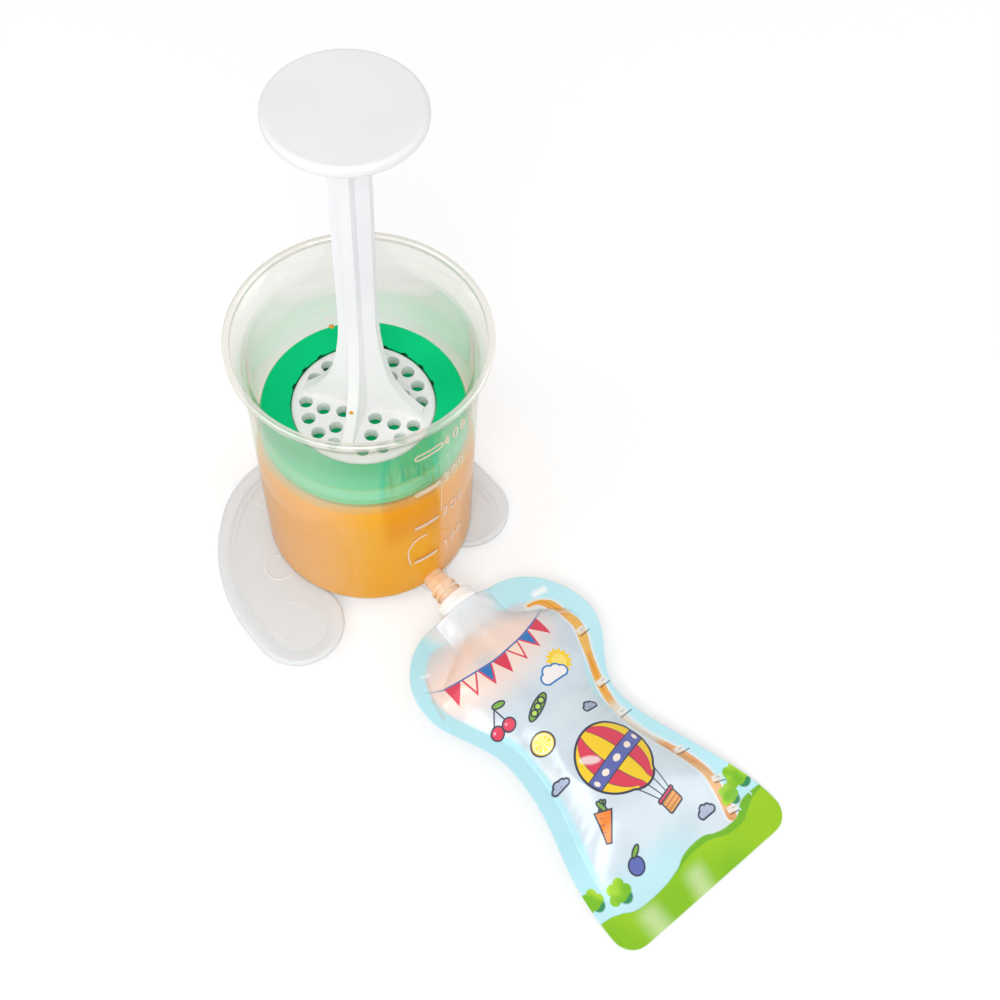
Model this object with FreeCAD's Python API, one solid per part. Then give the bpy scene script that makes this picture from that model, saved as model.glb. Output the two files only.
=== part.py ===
"""Food pouch filling station: a clear beaker on a bean-shaped foot, a masher plunger with a
silicone piston, and a spouted pouch plugged into the outlet at the foot of the beaker.

Frame: millimetres, +Z up, origin on the beaker's axis at table level, pouch along -Y.
"""
import FreeCAD, Part
import math
import os

V = FreeCAD.Vector

# ---------------------------------------------------------------- driving dimensions
# foot
foot_half_width = 57.0        # half the bean's length, tip flank to tip flank
foot_back = 45.0              # back edge, behind the beaker's axis
foot_back_flat = 9.5          # half the straight stretch of the back edge
foot_shoulder_radius = 38.0   # from the back edge into the flank
foot_shoulder_turn = 40.0     # degrees that the shoulder turns through
foot_middle_x = -9.9          # the bean's middle lies beside the beaker's axis
foot_tip_radius = 17.0        # the two round lobes
foot_tip_y = -21.6            # centres of the lobes
foot_notch_y = -12.0          # straight edge of the hollow between the lobes
foot_notch_round = 5.0        # its two corners
foot_thickness = 3.0          # plate
foot_edge_round = 1.3         # rounding of the plate's rim
stand_height = 2.5            # standing rib under the plate
stand_width = 2.4
stand_inset = 4.0             # from the plate's outline
stand_pad_radius = 13.0       # round pad under the beaker's axis

# beaker
beaker_height = 112.1         # from its bottom to the rim
beaker_bottom_radius = 39.2   # outside, at the bottom
beaker_draft = 0.2            # radius gained from the bottom to the flare
beaker_flare = 4.6            # radius gained in the flare
beaker_flare_height = 11.0
beaker_flare_bow = 0.38       # share of the flare gained at half its height
beaker_lip_height = 2.4       # upright lip above the flare
beaker_wall_bottom = 2.5      # wall at the bottom
beaker_wall_neck = 1.8        # wall where the flare starts
beaker_lip_wall = 2.4         # wall at the rim
beaker_floor = 2.0
beaker_heel_round = 1.4       # outside corner between wall and bottom
beaker_floor_round = 1.0      # inside corner between wall and floor
rim_round = 0.9
spigot_radius = 9.0           # ring under the floor that seats in the foot
spigot_wall = 2.0
spigot_clearance = 0.3

# outlet of the beaker
outlet_boss_radius = 5.6
outlet_boss_reach = 2.04      # how far the boss stands out of the wall
outlet_boss_length = 15.0
outlet_throat_radius = 3.0
outlet_groove_reach = 8.96    # how far the throat runs into the floor
outlet_pad_width = 18.0       # raised arch on the wall above the outlet
outlet_pad_height = 35.0
outlet_pad_proud = 0.5
outlet_foot_clearance = 0.3   # between the boss and the foot's notch

# food in the beaker
food_height = 61.9            # above the beaker's floor
food_top_thickness = 1.1
food_clearance = 0.35         # beside the bore's narrow end

# piston
piston_running_gap = 0.3      # between the lips and the bore's narrow end
piston_height = 9.45
piston_gap = 0.3              # between the food and the skirt
piston_floor = 3.0            # web under the masher plate
piston_hollow = 2.4           # depth of the hollow under the web
piston_hollow_slope = 1.0
piston_skirt_width = 5.4
piston_lip_height = 1.2
piston_groove_depth = 0.7
piston_groove_height = 1.3
piston_groove_slope = 0.4
piston_chamfer = 1.6
piston_rim_setback = 0.9      # the top rim stands back from the lips
piston_rim_chamfer = 0.5
piston_bead = 0.45            # snap bead over the masher plate's shoulder
piston_bead_depth = 0.75      # its crest lies this far below the plate's top
piston_bead_slope = 0.6
well_clearance = 0.3
well_mouth_width = 1.6        # sunk step around the well's mouth
well_mouth_depth = 0.3
well_pockets = 20             # round pockets in the well's wall beside the masher plate
well_pocket_radius = 2.2
well_pocket_turn = -1.0
well_pocket_floor = 0.4       # the pockets start this far above the well's floor
well_pocket_roof = 0.3        # and end this far below the snap bead's crest

# masher plate
masher_radius = 25.3
masher_thickness = 4.2
masher_shoulder = 2.9         # rounded outer edge
masher_hole_radius = 2.4
inner_row_radius = 8.0        # three rows of holes in each quarter between the stem's ribs
inner_row_holes = 1
middle_row_radius = 14.0
middle_row_holes = 2
middle_row_step = 37.0        # degrees from hole to hole
outer_row_radius = 19.8
outer_row_holes = 4
outer_row_step = 20.0

# stem and palm disc
plunger_height = 214.7        # palm disc's top above the table
stem_turn = 37.0              # direction of the first pair of ribs, degrees from +X
stem_cross_turn = 90.0        # from the first pair of ribs to the second
stem_half_width = 6.2
stem_rib_thickness = 3.6
stem_flare_start = 48.0       # above the masher plate
stem_flare_knee = 18.0
stem_knee_half_width = 10.0
stem_foot_half_width = 21.0
stem_foot_height = 2.4
stem_long_bow = 0.25          # how far the two curves of the flare hang back
stem_foot_bow = 0.38
stem_foot_sag = 0.54
palm_radius = 22.7
palm_thickness = 4.0
palm_edge_round = 1.5
palm_socket_depth = 4.0
palm_socket_wall = 1.6
palm_socket_clearance = 0.15

# pouch spout
neck_radius = 4.3
neck_bore_radius = 3.0
neck_plug_clearance = 0.05    # radial, in the outlet's bore
neck_plug_gap = 0.3           # between the neck's end and the bore's shoulder
neck_plug_depth = 3.8
thread_radius = 5.2
thread_width = 1.0
thread_pitch = 2.6
thread_count = 2
thread_start = 3.6            # first ridge, from the boss's face
collar_distance = 12.24       # from the beaker's wall
collar_radius = 8.1
collar_thickness = 4.7
collar_round = 0.9
collar_table_clearance = 0.4  # the collar just clears the table
boat_half_width = 12.0        # lens-shaped foot that the films are sealed to
boat_half_height = 4.4
boat_length = 9.6

# pouch
pouch_length = 133.8
pouch_top_half_width = 13.2
pouch_shoulder_half_width = 37.8
pouch_shoulder_distance = 27.0   # from the pouch's top edge
pouch_waist_half_width = 24.8
pouch_waist_distance = 60.5
pouch_hem_half_width = 38.9
pouch_hem_distance = 125.5
pouch_chest_sway = 1.8        # how far the soft pouch's middle lies beside the outlet's line
pouch_waist_sway = -0.9
pouch_belly_sway = 0.2
pouch_hem_sway = 2.9
pouch_corner_radius = 8.0
pouch_border = 6.5            # flat sealed border beside the filling
pouch_hem_band = 8.0          # sealed band at the bottom
film_thickness = 0.5
film_gap = 0.2                # between the two films along the border
film_slack = 0.3              # between a film and what it wraps
film_least_border = 0.8
pouch_chest_distance = 36.0
pouch_chest_height = 9.0
pouch_waist_height = 8.4
pouch_belly_distance = 93.0
pouch_belly_height = 9.6
pouch_flat_height = 0.15      # crown of the sealed ends
pouch_food_setback = 11.0     # the filling ends this far before the sealed band
food_slack = 0.4              # between the filling and the films
food_side_slack = 1.2         # beside the filling, where the films come together
food_bore_gap = 0.1           # around the food that stands in the spout's bore
pouch_table_clearance = 0.35
pouch_chest_seam = 6.6        # height of the border above the table
pouch_belly_seam = 6.2
pouch_hem_seam = 1.1

# sections of the pouch's lofts
top_sections = 3
middle_sections = 2
corner_sections = 4
least_section_step = 2.0

cut_overrun = 1.0             # how far a cutting tool runs past what it cuts
exact = 1e-4                  # to pick flat edges by their height

# ---------------------------------------------------------------- places worked out
plate_bottom = stand_height
plate_top = stand_height + foot_thickness
beaker_neck_radius = beaker_bottom_radius + beaker_draft
beaker_rim_radius = beaker_neck_radius + beaker_flare
beaker_bore_bottom = beaker_bottom_radius - beaker_wall_bottom
beaker_bore_neck = beaker_neck_radius - beaker_wall_neck
beaker_floor_top = plate_top + beaker_floor
rim_top = plate_top + beaker_height
neck_height = rim_top - beaker_flare_height
food_top = beaker_floor_top + food_height
piston_radius = beaker_bore_bottom - piston_running_gap
piston_bottom = food_top + piston_gap
piston_top = piston_bottom + piston_height
well_floor = piston_bottom + piston_hollow + piston_floor
masher_bottom = well_floor + well_clearance
masher_top = masher_bottom + masher_thickness
well_radius = masher_radius + well_clearance
palm_bottom = plunger_height - palm_thickness
outlet_axis_height = collar_radius + collar_table_clearance
wall_face = beaker_bottom_radius
boss_face = wall_face + outlet_boss_reach
plug_end = boss_face - neck_plug_depth
plug_shoulder = plug_end - neck_plug_gap
collar_front = wall_face + collar_distance
collar_back = collar_front + collar_thickness
boat_end = collar_back + boat_length
pouch_top = collar_back


# ---------------------------------------------------------------- small helpers
def save(solid, name):
    """Write one node to its STEP file."""
    solid.exportStep(os.path.join("parts", name + ".step"))
    print(name, len(solid.Solids), round(solid.Volume, 1), solid.isValid())


def line(a, b):
    return Part.LineSegment(a, b).toShape()


def arc(a, through, b):
    return Part.Arc(a, through, b).toShape()


def revolved(edges):
    """Turn a closed half profile in the XZ plane into a solid about Z."""
    face = Part.Face(Part.Wire(edges))
    return face.revolve(V(0, 0, 0), V(0, 0, 1), 360)


def profile(points):
    """Straight-sided closed half profile from (radius, height) pairs."""
    corners = [V(radius, 0, height) for radius, height in points]
    corners.append(corners[0])
    return Part.makePolygon(corners).Edges


def on_circle(radius, degrees, height):
    angle = math.radians(degrees)
    return V(radius * math.cos(angle), radius * math.sin(angle), height)


def flat_edges(solid, height=None):
    """The edges of a solid that lie level, at one height if it is given."""
    level = [edge for edge in solid.Edges if edge.BoundBox.ZLength < exact]
    if height is None:
        return level
    return [edge for edge in level if abs(edge.BoundBox.ZMin - height) < exact]


def along_spout(radius, start, end):
    """A cylinder on the spout's axis, between two distances from the beaker's axis."""
    return Part.makeCylinder(radius, end - start, V(0, -start, outlet_axis_height), V(0, -1, 0))


def eased(position, start, end, low, high):
    """A smooth step from low to high between two positions."""
    share = min(max((position - start) / (end - start), 0.0), 1.0)
    return low + (high - low) * (1 - math.cos(math.pi * share)) / 2


def outlet_boss(radius):
    """The outlet's round boss: a cylinder on the spout's axis with a ball for its inner end."""
    start = boss_face - outlet_boss_length
    ball = Part.makeSphere(radius, V(0, -start, outlet_axis_height))
    return along_spout(radius, start, boss_face).fuse(ball)


# ---------------------------------------------------------------- foot
def foot_outline(inset, height):
    """The bean: a shoulder, a flank and a round lobe on each side, and the hollow between the lobes."""
    turn = math.radians(foot_shoulder_turn)
    shoulder_y = foot_back - foot_shoulder_radius
    flank_radius = ((foot_half_width - foot_back_flat - foot_shoulder_radius * math.sin(turn))
                    / (1 - math.sin(turn)))
    flank_x = foot_half_width - flank_radius
    flank_y = shoulder_y + (foot_shoulder_radius - flank_radius) * math.cos(turn)
    tip_x = foot_half_width - foot_tip_radius
    corner_y = foot_notch_y - foot_notch_round
    reach = foot_tip_radius + foot_notch_round
    corner_x = tip_x - math.sqrt(reach ** 2 - (corner_y - foot_tip_y) ** 2)
    meet = math.atan2(corner_y - foot_tip_y, corner_x - tip_x)

    def half(side):
        def spot(x, y, radius=0.0, angle=0.0):
            x_turned = x + radius * math.cos(angle)
            return V(foot_middle_x + side * x_turned, y + radius * math.sin(angle), height)

        shoulder = foot_shoulder_radius - inset
        flank = flank_radius - inset
        tip = foot_tip_radius - inset
        corner = foot_notch_round + inset
        quarter = math.pi / 2
        joint = quarter - turn
        return [
            arc(spot(foot_back_flat, shoulder_y, shoulder, quarter),
                spot(foot_back_flat, shoulder_y, shoulder, (quarter + joint) / 2),
                spot(foot_back_flat, shoulder_y, shoulder, joint)),
            arc(spot(flank_x, flank_y, flank, joint),
                spot(flank_x, flank_y, flank, joint / 2),
                spot(flank_x, flank_y, flank)),
            line(spot(flank_x, flank_y, flank), spot(tip_x, foot_tip_y, tip)),
            arc(spot(tip_x, foot_tip_y, tip),
                spot(tip_x, foot_tip_y, tip, (meet - 2 * math.pi) / 2),
                spot(tip_x, foot_tip_y, tip, meet)),
            arc(spot(corner_x, corner_y, corner, meet - math.pi),
                spot(corner_x, corner_y, corner, (meet - math.pi + quarter) / 2),
                spot(corner_x, corner_y, corner, quarter)),
        ]

    notch_y = foot_notch_y + inset
    back_y = foot_back - inset
    edges = half(1) + half(-1)
    notch_left = V(foot_middle_x - corner_x, notch_y, height)
    notch_right = V(foot_middle_x + corner_x, notch_y, height)
    edges.append(line(notch_left, notch_right))
    edges.append(line(V(foot_middle_x - foot_back_flat, back_y, height),
                      V(foot_middle_x + foot_back_flat, back_y, height)))
    return Part.Wire(Part.sortEdges(edges)[0])


def make_base_plate():
    plate = Part.Face(foot_outline(0, plate_bottom)).extrude(V(0, 0, foot_thickness))
    plate = plate.makeFillet(foot_edge_round, flat_edges(plate))
    outer = Part.Face(foot_outline(stand_inset, 0)).extrude(V(0, 0, stand_height))
    inner = Part.Face(foot_outline(stand_inset + stand_width, 0)).extrude(V(0, 0, stand_height))
    plate = plate.fuse(outer.cut(inner))
    plate = plate.fuse(Part.makeCylinder(stand_pad_radius, stand_height))
    socket = Part.makeCylinder(spigot_radius + spigot_clearance, foot_thickness, V(0, 0, plate_bottom))
    channel = outlet_boss(outlet_boss_radius + outlet_foot_clearance)
    return plate.cut(socket).cut(channel).removeSplitter()


# ---------------------------------------------------------------- beaker
def wall_profile(floor_height, corner, bottom_radius, neck_radius, lip_radius, top):
    """Half profile closed along the axis: floor, round corner, tapered wall, flare and lip."""
    turn = corner * (1 - math.sqrt(0.5))
    lip_height = rim_top - beaker_lip_height
    centre_low = V(0, 0, floor_height)
    corner_in = V(bottom_radius - corner, 0, floor_height)
    corner_mid = V(bottom_radius - turn, 0, floor_height + turn)
    corner_out = V(bottom_radius, 0, floor_height + corner)
    neck = V(neck_radius, 0, neck_height)
    flare_mid = V(neck_radius + (lip_radius - neck_radius) * beaker_flare_bow, 0,
                  (neck_height + lip_height) / 2)
    lip = V(lip_radius, 0, lip_height)
    rim = V(lip_radius, 0, top)
    centre_high = V(0, 0, top)
    return [line(centre_low, corner_in), arc(corner_in, corner_mid, corner_out),
            line(corner_out, neck), arc(neck, flare_mid, lip), line(lip, rim),
            line(rim, centre_high), line(centre_high, centre_low)]


def beaker_outside():
    return wall_profile(plate_top, beaker_heel_round, beaker_bottom_radius,
                        beaker_neck_radius, beaker_rim_radius, rim_top)


def beaker_inside():
    return wall_profile(beaker_floor_top, beaker_floor_round, beaker_bore_bottom,
                        beaker_bore_neck, beaker_rim_radius - beaker_lip_wall, rim_top + cut_overrun)


def outlet_pad():
    """Arch-shaped pad that follows the wall above the outlet."""
    half = outlet_pad_width / 2
    shoulder = plate_top + outlet_pad_height - half
    base = plate_top + beaker_heel_round
    edges = [line(V(-half, 0, base), V(half, 0, base)),
             line(V(half, 0, base), V(half, 0, shoulder)),
             arc(V(half, 0, shoulder), V(0, 0, shoulder + half), V(-half, 0, shoulder)),
             line(V(-half, 0, shoulder), V(-half, 0, base))]
    arch = Part.Face(Part.Wire(edges)).extrude(V(0, -beaker_rim_radius * 2, 0))
    skin = Part.makeCone(beaker_bottom_radius + outlet_pad_proud,
                         beaker_neck_radius + outlet_pad_proud,
                         neck_height - plate_top, V(0, 0, plate_top))
    return arch.common(skin)


def make_beaker():
    body = revolved(beaker_outside())
    body = body.fuse(outlet_pad())
    body = body.fuse(outlet_boss(outlet_boss_radius))
    spigot = Part.makeCylinder(spigot_radius, foot_thickness + beaker_floor / 2, V(0, 0, plate_bottom))
    hollow = Part.makeCylinder(spigot_radius - spigot_wall, foot_thickness, V(0, 0, plate_bottom))
    body = body.fuse(spigot.cut(hollow))
    body = body.cut(revolved(beaker_inside()))
    bore = along_spout(neck_radius + neck_plug_clearance, plug_shoulder, boss_face + cut_overrun)
    throat = along_spout(outlet_throat_radius, wall_face - outlet_groove_reach, boss_face)
    throat_end = Part.makeSphere(outlet_throat_radius,
                                 V(0, -(wall_face - outlet_groove_reach), outlet_axis_height))
    body = body.cut(bore).cut(throat).cut(throat_end)
    return body.makeFillet(rim_round, flat_edges(body, rim_top))


# ---------------------------------------------------------------- food in the beaker
def make_puree_column():
    radius = beaker_bore_bottom - food_clearance
    top = food_top - food_top_thickness
    return revolved(profile([
        (0, beaker_floor_top),
        (radius - beaker_floor_round, beaker_floor_top),
        (radius, beaker_floor_top + beaker_floor_round),
        (radius, top),
        (0, top),
    ]))


def make_puree_top():
    """The pressed surface of the food: a flat edge and a crown that fills the piston's hollow."""
    radius = beaker_bore_bottom - food_clearance
    crown = piston_radius - piston_skirt_width - piston_gap * 2
    crown_top = well_floor - piston_floor - piston_gap
    return revolved(profile([
        (0, food_top - food_top_thickness),
        (radius, food_top - food_top_thickness),
        (radius, food_top),
        (crown, food_top),
        (crown - piston_hollow_slope, crown_top),
        (0, crown_top),
    ]))


# ---------------------------------------------------------------- piston
def make_piston_seal():
    """One silicone moulding: skirt with two lips, a web, and a well for the masher plate."""
    lip_low = piston_bottom + piston_chamfer
    lip_low_top = lip_low + piston_lip_height
    lip_high = lip_low_top + piston_groove_height
    lip_high_top = lip_high + piston_lip_height
    groove_radius = piston_radius - piston_groove_depth
    skirt_inner = piston_radius - piston_skirt_width
    rim_radius = piston_radius - piston_rim_setback
    bead_radius = well_radius - piston_bead
    bead_height = masher_top - piston_bead_depth
    seal = revolved(profile([
        (0, well_floor - piston_floor),
        (skirt_inner - piston_hollow_slope, well_floor - piston_floor),
        (skirt_inner, piston_bottom),
        (piston_radius - piston_chamfer, piston_bottom),
        (piston_radius, lip_low),
        (piston_radius, lip_low_top),
        (groove_radius, lip_low_top + piston_groove_slope),
        (groove_radius, lip_high - piston_groove_slope),
        (piston_radius, lip_high),
        (piston_radius, lip_high_top),
        (rim_radius, piston_top - piston_rim_chamfer),
        (rim_radius - piston_rim_chamfer, piston_top),
        (well_radius + well_mouth_width, piston_top),
        (bead_radius + well_mouth_depth, piston_top - well_mouth_depth),
        (bead_radius, bead_height),
        (well_radius, bead_height - piston_bead_slope),
        (well_radius, well_floor),
        (0, well_floor),
    ]))
    pockets = []
    for index in range(well_pockets):
        turn = well_pocket_turn + 360.0 * index / well_pockets
        foot = on_circle(well_radius, turn, well_floor + well_pocket_floor)
        pocket_height = bead_height - well_pocket_roof - foot.z
        pockets.append(Part.makeCylinder(well_pocket_radius, pocket_height, foot))
    return seal.cut(Part.makeCompound(pockets))


# ---------------------------------------------------------------- masher
def row_of_holes(radius, count, step):
    """The same short row of holes in each of the four quarters between the stem's ribs."""
    quarters = [
        stem_turn + stem_cross_turn / 2,
        stem_turn + stem_cross_turn / 2 + 180,
        stem_turn + (stem_cross_turn + 180) / 2,
        stem_turn + (stem_cross_turn + 180) / 2 + 180,
    ]
    holes = []
    for middle in quarters:
        for index in range(count):
            turn = middle + step * (index - (count - 1) / 2)
            centre = on_circle(radius, turn, masher_bottom - cut_overrun)
            holes.append(Part.makeCylinder(masher_hole_radius, masher_thickness + 2 * cut_overrun, centre))
    return holes


def make_masher_plate():
    """Round plate with a rolled edge and rows of straight holes."""
    shoulder = masher_shoulder
    flat = masher_radius - shoulder
    bottom_out = V(masher_radius, 0, masher_bottom)
    shoulder_low = V(masher_radius, 0, masher_top - shoulder)
    shoulder_mid = V(flat + shoulder * math.sqrt(0.5), 0,
                     masher_top - shoulder * (1 - math.sqrt(0.5)))
    shoulder_high = V(flat, 0, masher_top)
    plate = revolved([
        line(V(0, 0, masher_bottom), bottom_out),
        line(bottom_out, shoulder_low),
        arc(shoulder_low, shoulder_mid, shoulder_high),
        line(shoulder_high, V(0, 0, masher_top)),
        line(V(0, 0, masher_top), V(0, 0, masher_bottom)),
    ])
    holes = row_of_holes(inner_row_radius, inner_row_holes, 0)
    holes += row_of_holes(middle_row_radius, middle_row_holes, middle_row_step)
    holes += row_of_holes(outer_row_radius, outer_row_holes, outer_row_step)
    return plate.cut(Part.makeCompound(holes))


def stem_rib(turn):
    """One pair of ribs: straight for most of its height, flaring to a foot on the plate."""
    flare = masher_top + stem_flare_start
    knee = masher_top + stem_flare_knee
    foot = masher_top + stem_foot_height
    half = stem_half_width
    knee_half = stem_knee_half_width
    foot_half = stem_foot_half_width
    long_mid = V(half + (knee_half - half) * stem_long_bow, 0, (flare + knee) / 2)
    short_mid = V(knee_half + (foot_half - knee_half) * stem_foot_bow, 0,
                  knee - (knee - foot) * stem_foot_sag)

    def side(sign):
        def at(u, height):
            return V(sign * u, 0, height)
        return [
            line(at(half, palm_bottom), at(half, flare)),
            arc(at(half, flare), at(long_mid.x, long_mid.z), at(knee_half, knee)),
            arc(at(knee_half, knee), at(short_mid.x, short_mid.z), at(foot_half, foot)),
            line(at(foot_half, foot), at(foot_half, masher_top)),
        ]

    edges = side(1) + side(-1)
    edges.append(line(V(-foot_half, 0, masher_top), V(foot_half, 0, masher_top)))
    edges.append(line(V(-half, 0, palm_bottom), V(half, 0, palm_bottom)))
    outline = Part.Wire(Part.sortEdges(edges)[0])
    rib = Part.Face(outline).extrude(V(0, stem_rib_thickness, 0))
    rib.translate(V(0, -stem_rib_thickness / 2, 0))
    rib.rotate(V(0, 0, 0), V(0, 0, 1), turn)
    return rib


def make_masher_stem():
    return stem_rib(stem_turn).fuse(stem_rib(stem_turn + stem_cross_turn)).removeSplitter()


def make_palm_disc():
    """Flat round push plate with a round socket below for the end of the stem."""
    disc = Part.makeCylinder(palm_radius, palm_thickness, V(0, 0, palm_bottom))
    disc = disc.makeFillet(palm_edge_round, flat_edges(disc))
    stem_corner = math.hypot(stem_half_width, stem_rib_thickness / 2)
    inner = stem_corner + palm_socket_clearance
    socket = Part.makeCylinder(inner + palm_socket_wall, palm_socket_depth,
                               V(0, 0, palm_bottom - palm_socket_depth))
    hollow = Part.makeCylinder(inner, palm_socket_depth, V(0, 0, palm_bottom - palm_socket_depth))
    return disc.fuse(socket.cut(hollow))


# ---------------------------------------------------------------- pouch
def lens(distance, half_width, half_height):
    """Closed lens section across the pouch at one distance from the beaker's axis."""
    y = -distance
    z = outlet_axis_height
    left = V(-half_width, y, z)
    right = V(half_width, y, z)
    return Part.Wire([arc(left, V(0, y, z + half_height), right),
                      arc(right, V(0, y, z - half_height), left)])


def make_pouch_spout():
    """Neck with two thread ridges, collar and the lens-shaped foot, in one moulding."""
    neck = along_spout(neck_radius, plug_end, collar_front)
    collar = along_spout(collar_radius, collar_front, collar_back)
    collar = collar.makeFillet(collar_round, [edge for edge in collar.Edges
                                              if edge.BoundBox.YLength < exact])
    boat = Part.Face(lens(collar_back, boat_half_width, boat_half_height))
    boat = boat.extrude(V(0, -boat_length, 0))
    spout = neck.fuse(collar).fuse(boat)
    for index in range(thread_count):
        start = boss_face + thread_start + thread_pitch * index
        spout = spout.fuse(along_spout(thread_radius, start, start + thread_width))
    bore = along_spout(neck_bore_radius, plug_end - cut_overrun, boat_end + cut_overrun)
    return spout.cut(bore)


def pouch_half_width(distance):
    """Half the pouch's width at one distance from its top edge: shoulders, waist and hem."""
    if distance < pouch_shoulder_distance:
        share = 1 - distance / pouch_shoulder_distance
        bulge = math.sqrt(max(1 - share ** 2, 0))
        return pouch_top_half_width + (pouch_shoulder_half_width - pouch_top_half_width) * bulge
    if distance < pouch_waist_distance:
        return eased(distance, pouch_shoulder_distance, pouch_waist_distance,
                     pouch_shoulder_half_width, pouch_waist_half_width)
    corner_start = pouch_length - pouch_corner_radius
    width = eased(distance, pouch_waist_distance, pouch_hem_distance,
                  pouch_waist_half_width, pouch_hem_half_width)
    if distance > corner_start:
        past = min(distance - corner_start, pouch_corner_radius)
        width -= pouch_corner_radius - math.sqrt(pouch_corner_radius ** 2 - past ** 2)
    return width


def pouch_filled_half_width(distance):
    """Half the width of the puffed-up part, inside the sealed border."""
    boat = boat_half_width + film_slack
    if distance <= boat_length:
        return boat
    inside = pouch_half_width(distance) - pouch_border
    return min(inside, eased(distance, boat_length, pouch_shoulder_distance, boat, inside))


def pouch_keyed(distance, at_boat, at_chest, at_waist, at_belly, at_hem):
    """A value that eases from one station along the pouch to the next."""
    hem_start = pouch_length - pouch_hem_band
    stations = [(boat_length, at_boat), (pouch_chest_distance, at_chest),
                (pouch_waist_distance, at_waist), (pouch_belly_distance, at_belly),
                (hem_start, at_hem)]
    value = at_boat
    for (start, low), (end, high) in zip(stations, stations[1:]):
        if distance > start:
            value = eased(distance, start, end, low, high)
    return value


def pouch_sway(distance):
    """How far the pouch's middle lies beside the outlet's line."""
    return pouch_keyed(distance, 0.0, pouch_chest_sway, pouch_waist_sway,
                       pouch_belly_sway, pouch_hem_sway)


def pouch_seam(distance):
    """Height of the border's middle above the table."""
    waist = (pouch_chest_seam + pouch_belly_seam) / 2
    return pouch_keyed(distance, outlet_axis_height, pouch_chest_seam, waist,
                       pouch_belly_seam, pouch_hem_seam)


def pouch_front_crown(distance):
    boat = boat_half_height + film_slack
    return pouch_keyed(distance, boat, pouch_chest_height, pouch_waist_height,
                       pouch_belly_height, pouch_flat_height)


def pouch_back_crown(distance):
    """The back lies on the table, so its crown follows from the seam's height."""
    boat = boat_half_height + film_slack
    below = film_thickness + film_gap / 2 + pouch_table_clearance
    waist = (pouch_chest_seam + pouch_belly_seam) / 2
    return pouch_keyed(distance, boat, pouch_chest_seam - below, waist - below,
                       pouch_belly_seam - below, pouch_flat_height)


def pouch_stations():
    """Distances of the lofted sections, closer together where the outline turns fast."""
    corner_start = pouch_length - pouch_corner_radius
    stations = [boat_length * (step / top_sections) ** 2 for step in range(top_sections + 1)]
    for start, end, count in ((boat_length, pouch_chest_distance, top_sections),
                              (pouch_chest_distance, pouch_waist_distance, middle_sections),
                              (pouch_waist_distance, pouch_belly_distance, middle_sections),
                              (pouch_belly_distance, corner_start, middle_sections)):
        for step in range(1, count + 1):
            stations.append(start + (end - start) * step / count)
    for step in range(1, corner_sections + 1):
        turn = math.pi / 2 * step / corner_sections
        stations.append(corner_start + pouch_corner_radius * math.sin(turn))
    return stations


def film_section(distance, crown, side):
    """Closed section of one film: flat border, arch and flat border. side is 1 or -1."""
    y = -(pouch_top + distance)
    seam = pouch_seam(distance) + side * film_gap / 2
    outer_seam = seam + side * film_thickness
    width = pouch_half_width(distance)
    filled = min(pouch_filled_half_width(distance), width - film_least_border)
    middle = pouch_sway(distance)
    inner = [V(middle + x, y, seam) for x in (-width, -filled, filled, width)]
    outer = [V(middle + x, y, outer_seam) for x in (width, filled, -filled, -width)]
    points = inner + outer
    inner_top = V(middle, y, seam + side * crown)
    outer_top = V(middle, y, outer_seam + side * crown)
    return Part.Wire([
        line(points[0], points[1]),
        arc(points[1], inner_top, points[2]),
        line(points[2], points[3]),
        line(points[3], points[4]),
        line(points[4], points[5]),
        arc(points[5], outer_top, points[6]),
        line(points[6], points[7]),
        line(points[7], points[0]),
    ])


def make_film(crown_of, side):
    sections = [film_section(distance, crown_of(distance), side) for distance in pouch_stations()]
    return Part.makeLoft(sections, True, False)


def make_pouch_food():
    """The filling between the films, and the rod of food that stands in the spout's bore."""
    start = boat_length + film_slack
    end = pouch_length - pouch_hem_band - pouch_food_setback
    inner = [distance for distance in pouch_stations()
             if start + least_section_step < distance < end - least_section_step]
    sections = []
    for distance in [start] + inner + [end]:
        y = -(pouch_top + distance)
        width = pouch_filled_half_width(distance) - food_side_slack
        seam = pouch_seam(distance)
        middle = pouch_sway(distance)
        up = V(middle, y, seam + pouch_front_crown(distance) - food_slack)
        down = V(middle, y, seam - pouch_back_crown(distance) + food_slack)
        left = V(middle - width, y, seam)
        right = V(middle + width, y, seam)
        sections.append(Part.Wire([arc(left, up, right), arc(right, down, left)]))
    filling = Part.makeLoft(sections, True, False)
    rod_radius = neck_bore_radius - food_bore_gap
    rod = along_spout(rod_radius, plug_end, pouch_top + start + cut_overrun)
    return filling.fuse(rod)


# ---------------------------------------------------------------- build
os.makedirs("parts", exist_ok=True)
save(make_base_plate(), "base_plate")
save(make_beaker(), "beaker")
save(make_puree_column(), "puree_column")
save(make_puree_top(), "puree_top")
save(make_piston_seal(), "piston_seal")
save(make_masher_plate(), "masher_plate")
save(make_masher_stem(), "masher_stem")
save(make_palm_disc(), "palm_disc")
save(make_pouch_spout(), "pouch_spout")
save(make_film(pouch_front_crown, 1), "pouch_front_film")
save(make_film(pouch_back_crown, -1), "pouch_back_film")
save(make_pouch_food(), "pouch_food")
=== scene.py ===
"""Looks of the food pouch filling station: clear beaker with puree, green piston, white masher,
frosted foot and a printed, glossy pouch on the outlet. Metres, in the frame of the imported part."""

import math
import random
from functools import reduce

import bmesh
import bpy
import numpy as np
from mathutils import Matrix, Vector


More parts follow.
